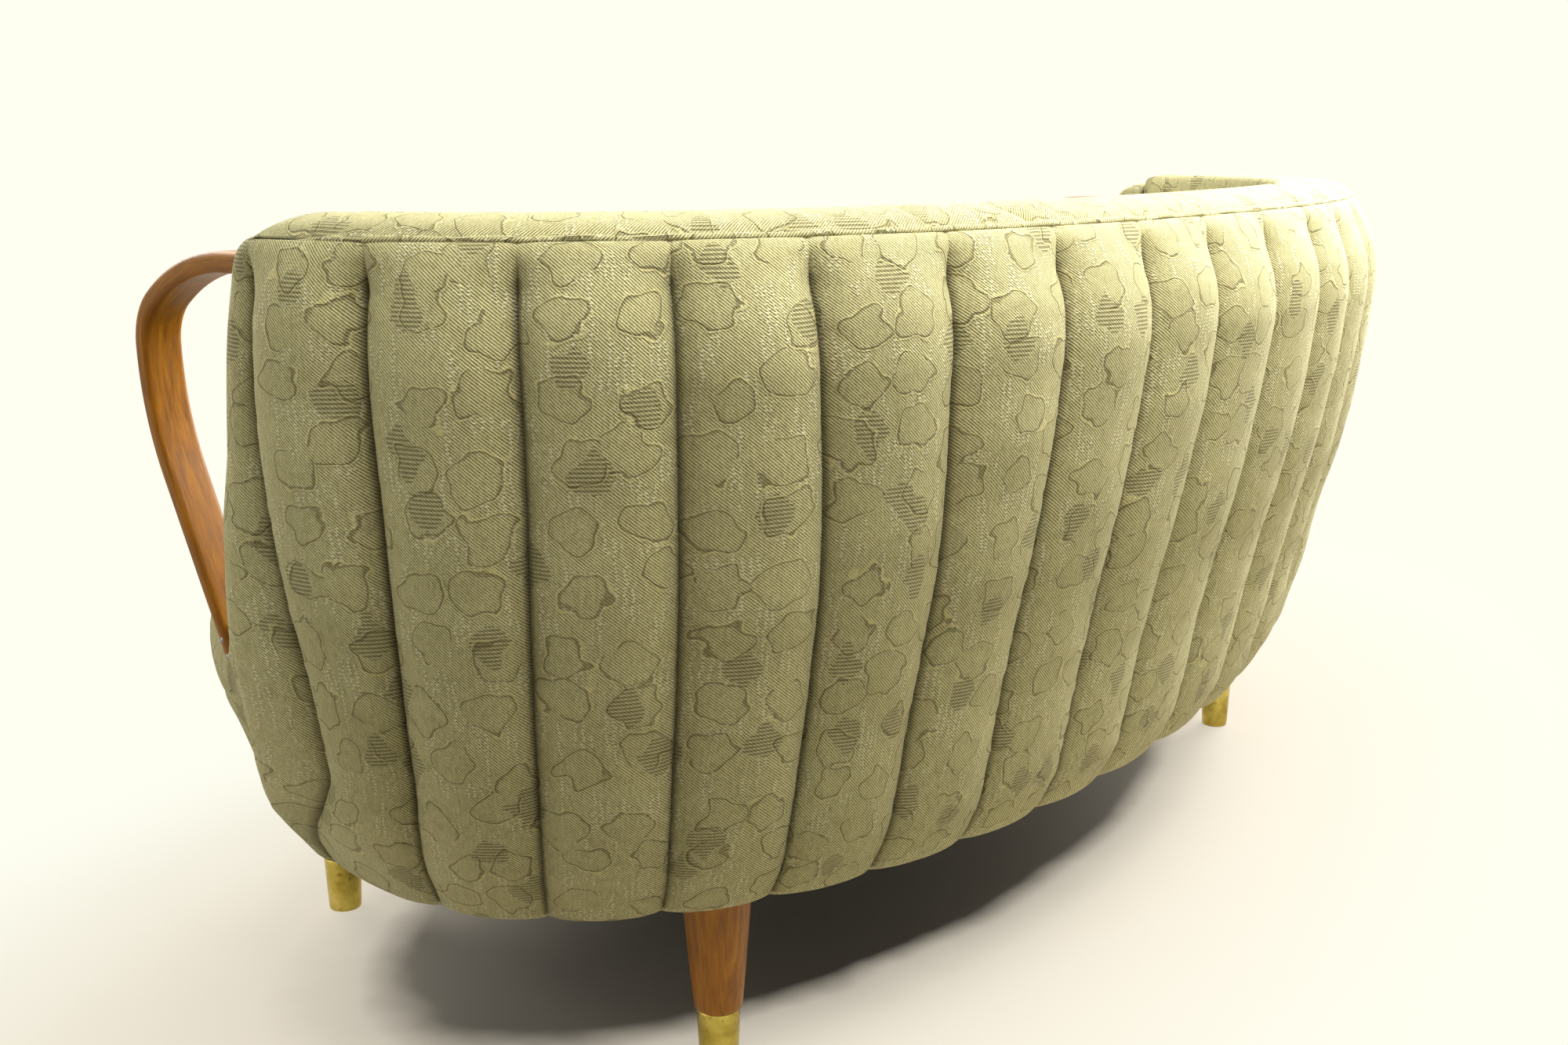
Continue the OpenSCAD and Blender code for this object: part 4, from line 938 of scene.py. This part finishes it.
def hung_from_front(co, drop):
    """Cloth places, in mm, of points that hang this far down from the seat's front edge."""
    nearest = []
    for i in range(0, len(co), AT_ONCE):
        part = co[i:i + AT_ONCE]
        nearest.append(((part[:, :1] - FRONT_X) ** 2 + (part[:, 1:2] - FRONT_Y) ** 2).argmin(1))
    j = np.concatenate(nearest)
    dx, dy = np.gradient(FRONT_X)[j], np.gradient(FRONT_Y)[j]
    n = np.hypot(dx, dy)
    return pairs(FRONT_X[j] + dy / n * drop + PATTERN_SHIFT, FRONT_Y[j] - dx / n * drop)


def seat_cushion():
    middle = np.array([0.0, SEAT_Y + SHIFT])
    rings = []
    for z, out in SEAT_SIDE:
        outline = both_sides(seat_outline(z, out))
        rings.append(np.column_stack([outline, np.full(len(outline), z)]))
    edge = rings[-1]
    for k in SEAT_RINGS:
        ring = edge.copy()
        ring[:, :2] = middle + (softened(edge[:, :2], 150 * (1 - k) ** 1.1) - middle) * k
        ring[:, 2] = EDGE - 0.5 + (SEAT_CROWN + 0.5) * (1 - k ** 3.2) ** 0.9
        # softly uneven where people sit
        uneven = waves(ring[:, 0] + 0.4 * ring[:, 1], 31, 230) + waves(ring[:, 1] - 0.3 * ring[:, 0], 32, 170)
        ring[:, 2] -= SEAT_UNEVEN * (1 - k ** 4) * (1 + 0.5 * uneven)
        rings.append(ring)
    n, count = len(edge), len(rings)
    verts = np.vstack(rings + [[[*middle, EDGE + SEAT_CROWN]], [[*middle, DECK + 0.4]]])
    faces = band_faces(n, count)
    top, low = len(verts) - 2, len(verts) - 1
    for i in range(n):
        faces.append(((count - 1) * n + i, (count - 1) * n + (i + 1) % n, top))
        faces.append((i, low, (i + 1) % n))
    # the cushion swells a little outside the foot of each arm
    away = np.hypot((np.abs(verts[:, 0]) - BULGE_X) / BULGE_WIDE, (verts[:, 1] - BULGE_Y) / BULGE_LONG)
    verts[:, 2] += BULGE_RISE * np.exp(-away ** 2) * smoothstep((verts[:, 2] - BULGE_Z) / 25)
    obj = new_object("seat_cushion", verts, faces)
    # the cloth is laid flat on the top, and hangs from the edge at the sides
    co = points_of(obj)
    uv = pairs(co[:, 0] + PATTERN_SHIFT, co[:, 1])
    side = co[:, 2] < 405
    uv[side] = hung_from_front(co[side], EDGE - co[side, 2])
    set_uv(obj, uv / 1000)
    finish_piece(obj, cloth, "fabric", "seat_pad")


def border_inset(v, a):
    """How far the border lies in from the seat's outline, with its ends tucked in beside the wings."""
    tucked = BORDER_TUCK * smoothstep((np.abs(a) - 58) / 22) * np.sqrt(max(0.0, 1 - v))
    return mix(BORDER_IN, BORDER_IN_SIDE, np.abs(np.sin(np.radians(a))) ** 5) * border_profile(v) + tucked


def border_row(z, v, thick):
    """A row across the border at height z, which is a share v of its own height."""
    stop = min(front_stop(z, lambda a: -border_inset(v, a), BORDER_GAP), 90)
    a = np.linspace(-1, 1, BORDER_COLUMNS) * stop
    x, y = front(a, -(border_inset(v, a) + thick))
    return np.stack([x, y, np.full(BORDER_COLUMNS, z)], -1)


def front_border_cover():
    rows = []
    for v in np.concatenate([np.linspace(1, 0.08, 34), [0.05, 0.025]]):
        rows.append(border_row(mix(HEM_Z, DECK - 0.5, v), v, 1.6 if v == 1 else 1.0 if v < 0.04 else 0))
    for z, thick in BORDER_LINING:
        rows.append(border_row(z, (z - HEM_Z) / (DECK - 0.5 - HEM_Z), thick))
    loops = np.array(rows).transpose(1, 0, 2)
    obj = new_object("front_border_cover", loops.reshape(-1, 3), loft_faces(loops.shape[1], BORDER_COLUMNS))
    drop = EDGE - DECK + np.tile(run_along(loops), BORDER_COLUMNS)
    set_uv(obj, hung_from_front(points_of(obj), drop) / 1000)
    finish_piece(obj, cloth, "fabric", "front_border")


# Arms

ARM_W, ARM_T, ARM_FOOT_T = 39.0, 18.0, 14.0
ARM_ROUND, CORNER_STEPS = 5.4, 5
STRAIGHT_STEPS, BEND_STEP = 12, 2.2  # steps on a straight run, degrees on a bend
ARM_INSET = 8  # how far an arm lies inboard of the middle of its wing
ARM_Z, LEAD, ROOT, ARM_FOOT_Z = 734.0, 105.0, 32.0, 371.0
BENDS = ((200.0, 36.0), (60.0, 54.0), (258.0, 27.0))  # radius and degrees of each bend


def arm_path():
    """The arm's upper face: forward place, height and slope of each point, from the root to the foot."""
    pts = [(d, ARM_Z, 0.0) for d in np.linspace(-ROOT, LEAD, STRAIGHT_STEPS)]
    x, z, a = LEAD, ARM_Z, 0.0
    for r, turn in BENDS:
        n = max(10, int(turn / BEND_STEP))
        for i in range(1, n + 1):
            b = a + turn * i / n
            pts.append((x + r * (math.sin(math.radians(b)) - math.sin(math.radians(a))),
                        z + r * (math.cos(math.radians(b)) - math.cos(math.radians(a))), b))
        x, z, a = pts[-1]
    slope = math.radians(a)
    run = (z - ARM_FOOT_Z) / math.sin(slope)
    for i in range(1, STRAIGHT_STEPS + 1):
        part = run * i / STRAIGHT_STEPS
        pts.append((x + part * math.cos(slope), z - part * math.sin(slope), a))
    return pts


def beside_wing(d, x, z):
    """A place d forward of the right wing's end and x across the arm."""
    px, py = plan(HALF, x - END_R - ARM_INSET)
    ax, ay = along_dir(HALF)
    return np.array([float(px + d * ax), float(py + d * ay), z])


def arm_section(thick):
    """The band's section with rounded corners: across, and down from the upper face."""
    r, side = ARM_ROUND, ARM_W / 2 - ARM_ROUND
    shape = []
    for cx, deep, start in ((side, r, 90), (side, thick - r, 0), (-side, thick - r, -90), (-side, r, -180)):
        for q in range(CORNER_STEPS + 1):
            b = math.radians(start - 90 * q / CORNER_STEPS)
            shape.append((cx + r * math.cos(b), deep - r * math.sin(b)))
    return shape


def bent_arm(name, node, side):
    path = arm_path()
    rings, uv = [], []
    for k, run in enumerate(run_along(np.array(path)[:, :2])):
        d, z, a = path[k]
        a = math.radians(a)
        down = np.array([-math.sin(a), -math.cos(a)])
        if k == len(path) - 1:
            down = np.array([-1 / math.sin(a), 0])
        shape = arm_section(mix(ARM_T, ARM_FOOT_T, min(max((ARM_Z - z) / (ARM_Z - EDGE), 0), 1)))
        ring = []
        for across, deep in shape:
            p = np.array([d, z]) + deep * down
            ring.append(beside_wing(p[0], across, p[1]) * (side, 1, 1))
        rings.append(ring)
        # the two arms take different parts of the grain
        uv.append(pairs(run + 400 * (side > 0), run_along(np.array(shape))))
    obj = new_object(name, np.array(rings).reshape(-1, 3), loft_faces(len(shape), len(rings)))
    set_uv(obj, np.vstack(uv) / 1000)
    finish_piece(obj, arm_wood, "honey_wood", node)
    obj.data.set_sharp_from_angle(angle=math.radians(40))


outer_back_cover()
seam_welt()
back_pad("back_cushion_left", "back_pad_left", -HALF, -PAD_HALF)
back_pad("back_cushion_centre", "back_pad_centre", -PAD_HALF, PAD_HALF)
back_pad("back_cushion_right", "back_pad_right", PAD_HALF, HALF)
seat_cushion()
front_border_cover()
bent_arm("bent_arm_right", "arm_right", 1)
bent_arm("bent_arm_left", "arm_left", -1)

# Floor, light and camera, in metres

BACKDROP = srgb(255, 255, 241)
FLOOR_HALF = 30.0
FLOOR_DARK, FLOOR_LIGHT = (0.42, 0.385, 0.325, 1), (0.47, 0.43, 0.365, 1)
# the oval under the sofa outside which the floor runs on into the white backdrop: its half lengths,
# its place, and how white the floor looks at multiples of its size
OVAL_X, OVAL_Y, OVAL_BACK, OVAL_REACH = 0.70, 0.32, 0.08, 3.2
OVAL_WHITE = [(0.93, 0.0), (1.03, 0.52), (1.2, 0.72), (1.6, 0.86), (2.6, 1.0)]
RAGGED = 0.03  # how far the oval's edge wanders, as a share of its reach
DAYLIGHT = (1.0, 0.99, 0.96)
# soft lamps above the back, one large lamp beside it, and weak ones for the far sides: name, place,
# target, size and power in watts
LAMPS = (("above_near", (0.75, 0.75, 1.7), (0.3, 0.35, 0.6), (1.0, 0.6), 19),
         ("above_middle", (0.0, 0.85, 1.6), (0.0, 0.45, 0.6), (1.0, 0.6), 17),
         ("above_far", (-0.8, 0.7, 1.6), (-0.4, 0.3, 0.6), (1.0, 0.6), 37),
         ("side", (-2.8, 0.15, 1.15), (0.0, 0.2, 0.5), (1.6, 1.6), 165),
         ("other_side", (2.4, -1.4, 1.3), (0.4, 0.0, 0.4), (1.4, 1.4), 22),
         ("front_fill", (0.0, -2.8, 1.9), (0.0, 0.0, 0.5), (2.0, 1.2), 60))
SUN_AZIMUTH, SUN_ELEVATION, SUN_SPREAD, SUN_STRENGTH = 40, 75, 7, 0.72
CAMERA_PLACE, LOOK = (1.6971, 1.0718, 0.8208), (-0.81, -0.586, 0)
PITCH, ROLL = 0.2174, 0.0052
FOCAL_PX, PHOTO_PX, SENSOR = 2204.4, 2000, 36.0


def seen_rays(g):
    """1 for the rays in which a background shows: the camera's, and those of gloss and glass."""
    rays = g.node("ShaderNodeLightPath").outputs
    return g.math("MAXIMUM", rays["Is Camera Ray"],
                  g.math("MAXIMUM", rays["Is Glossy Ray"], rays["Is Transmission Ray"]))


def pick(g, factor, first, second):
    n = g.node("ShaderNodeMixShader")
    for socket, value in zip(n.inputs, (factor, first, second)):
        g.put(socket, value)
    return n.outputs[0]


def stage_floor():
    mesh = bpy.data.meshes.new("floor")
    w = FLOOR_HALF
    mesh.from_pydata([(-w, -w, 0), (w, -w, 0), (w, w, 0), (-w, w, 0)], [], [(0, 1, 2, 3)])
    floor = bpy.data.objects.new("floor", mesh)
    scene.collection.objects.link(floor)
    m = bpy.data.materials.new("studio_floor")
    g = Graph(m)
    at = g.place()
    matt = g.node("ShaderNodeBsdfDiffuse")
    g.put(matt.inputs[0], g.mix(g.noise(at, 0.9, 3.0, 0.5), FLOOR_DARK, FLOOR_LIGHT))
    oval = g.mapped(at, (1 / OVAL_X, 1 / OVAL_Y, 1.0), (0.0, OVAL_BACK / OVAL_Y, 0.0))
    away = g.math("MULTIPLY", g.vmath("LENGTH", oval), 1 / OVAL_REACH)
    away = g.pile(away, (g.noise(at, 7.0, 3.0, 0.6), RAGGED))
    # painted shade: short of the oval's outer reach the floor is only partly whitened, so it darkens softly
    # towards the sofa
    white = g.ramp(away, [(p / OVAL_REACH + RAGGED / 2, (v, v, v)) for p, v in OVAL_WHITE])
    glow = g.node("ShaderNodeEmission")
    # painted shade: near the sofa the glow is a warmer, darker white
    g.put(glow.inputs[0], g.mix(g.step(away, 0.3, 0.8), srgb(247, 237, 218), BACKDROP))
    shader = pick(g, g.math("MULTIPLY", white, seen_rays(g)), matt.outputs[0], glow.outputs[0])
    g.put(g.node("ShaderNodeOutputMaterial").inputs[0], shader)
    mesh.materials.append(m)


def studio_world(colour, strength):
    world = bpy.data.worlds.new("studio")
    scene.world = world
    g = Graph(world)
    light = g.node("ShaderNodeBackground")
    light.inputs[0].default_value = colour
    light.inputs[1].default_value = strength
    backdrop = g.node("ShaderNodeBackground")
    backdrop.inputs[0].default_value = BACKDROP
    shader = pick(g, seen_rays(g), light.outputs[0], backdrop.outputs[0])
    g.put(g.node("ShaderNodeOutputWorld").inputs[0], shader)


def area(name, place, target, size, power):
    data = bpy.data.lights.new(name, "AREA")
    data.shape = "RECTANGLE"
    data.size, data.size_y = size
    data.energy = power
    data.color = DAYLIGHT
    obj = bpy.data.objects.new(name, data)
    obj.location = place
    obj.rotation_euler = (Vector(target) - Vector(place)).to_track_quat("-Z", "Y").to_euler()
    scene.collection.objects.link(obj)


def sun(name, azimuth, elevation, spread, strength):
    data = bpy.data.lights.new(name, "SUN")
    data.energy = strength
    data.angle = math.radians(spread)
    a, e = math.radians(azimuth), math.radians(elevation)
    obj = bpy.data.objects.new(name, data)
    toward = Vector((math.cos(a) * math.cos(e), math.sin(a) * math.cos(e), math.sin(e)))
    obj.rotation_euler = toward.to_track_quat("Z", "Y").to_euler()
    scene.collection.objects.link(obj)


def photo_camera():
    data = bpy.data.cameras.new("camera")
    data.sensor_fit = "HORIZONTAL"
    data.sensor_width = SENSOR
    data.lens = FOCAL_PX / PHOTO_PX * SENSOR
    data.clip_end = 2 * FLOOR_HALF
    camera = bpy.data.objects.new("camera", data)
    look = Vector(LOOK).normalized()
    forward = Vector((look.x * math.cos(PITCH), look.y * math.cos(PITCH), -math.sin(PITCH)))
    aim = forward.to_track_quat("-Z", "Y").to_matrix().to_4x4() @ Matrix.Rotation(-ROLL, 4, "Z")
    camera.matrix_world = Matrix.Translation(CAMERA_PLACE) @ aim
    scene.collection.objects.link(camera)
    scene.camera = camera


stage_floor()
studio_world((1.0, 0.985, 0.95, 1), 0.04)
for lamp in LAMPS:
    area(*lamp)
sun("high_sun", SUN_AZIMUTH, SUN_ELEVATION, SUN_SPREAD, SUN_STRENGTH)
photo_camera()
scene.view_settings.view_transform = "Standard"
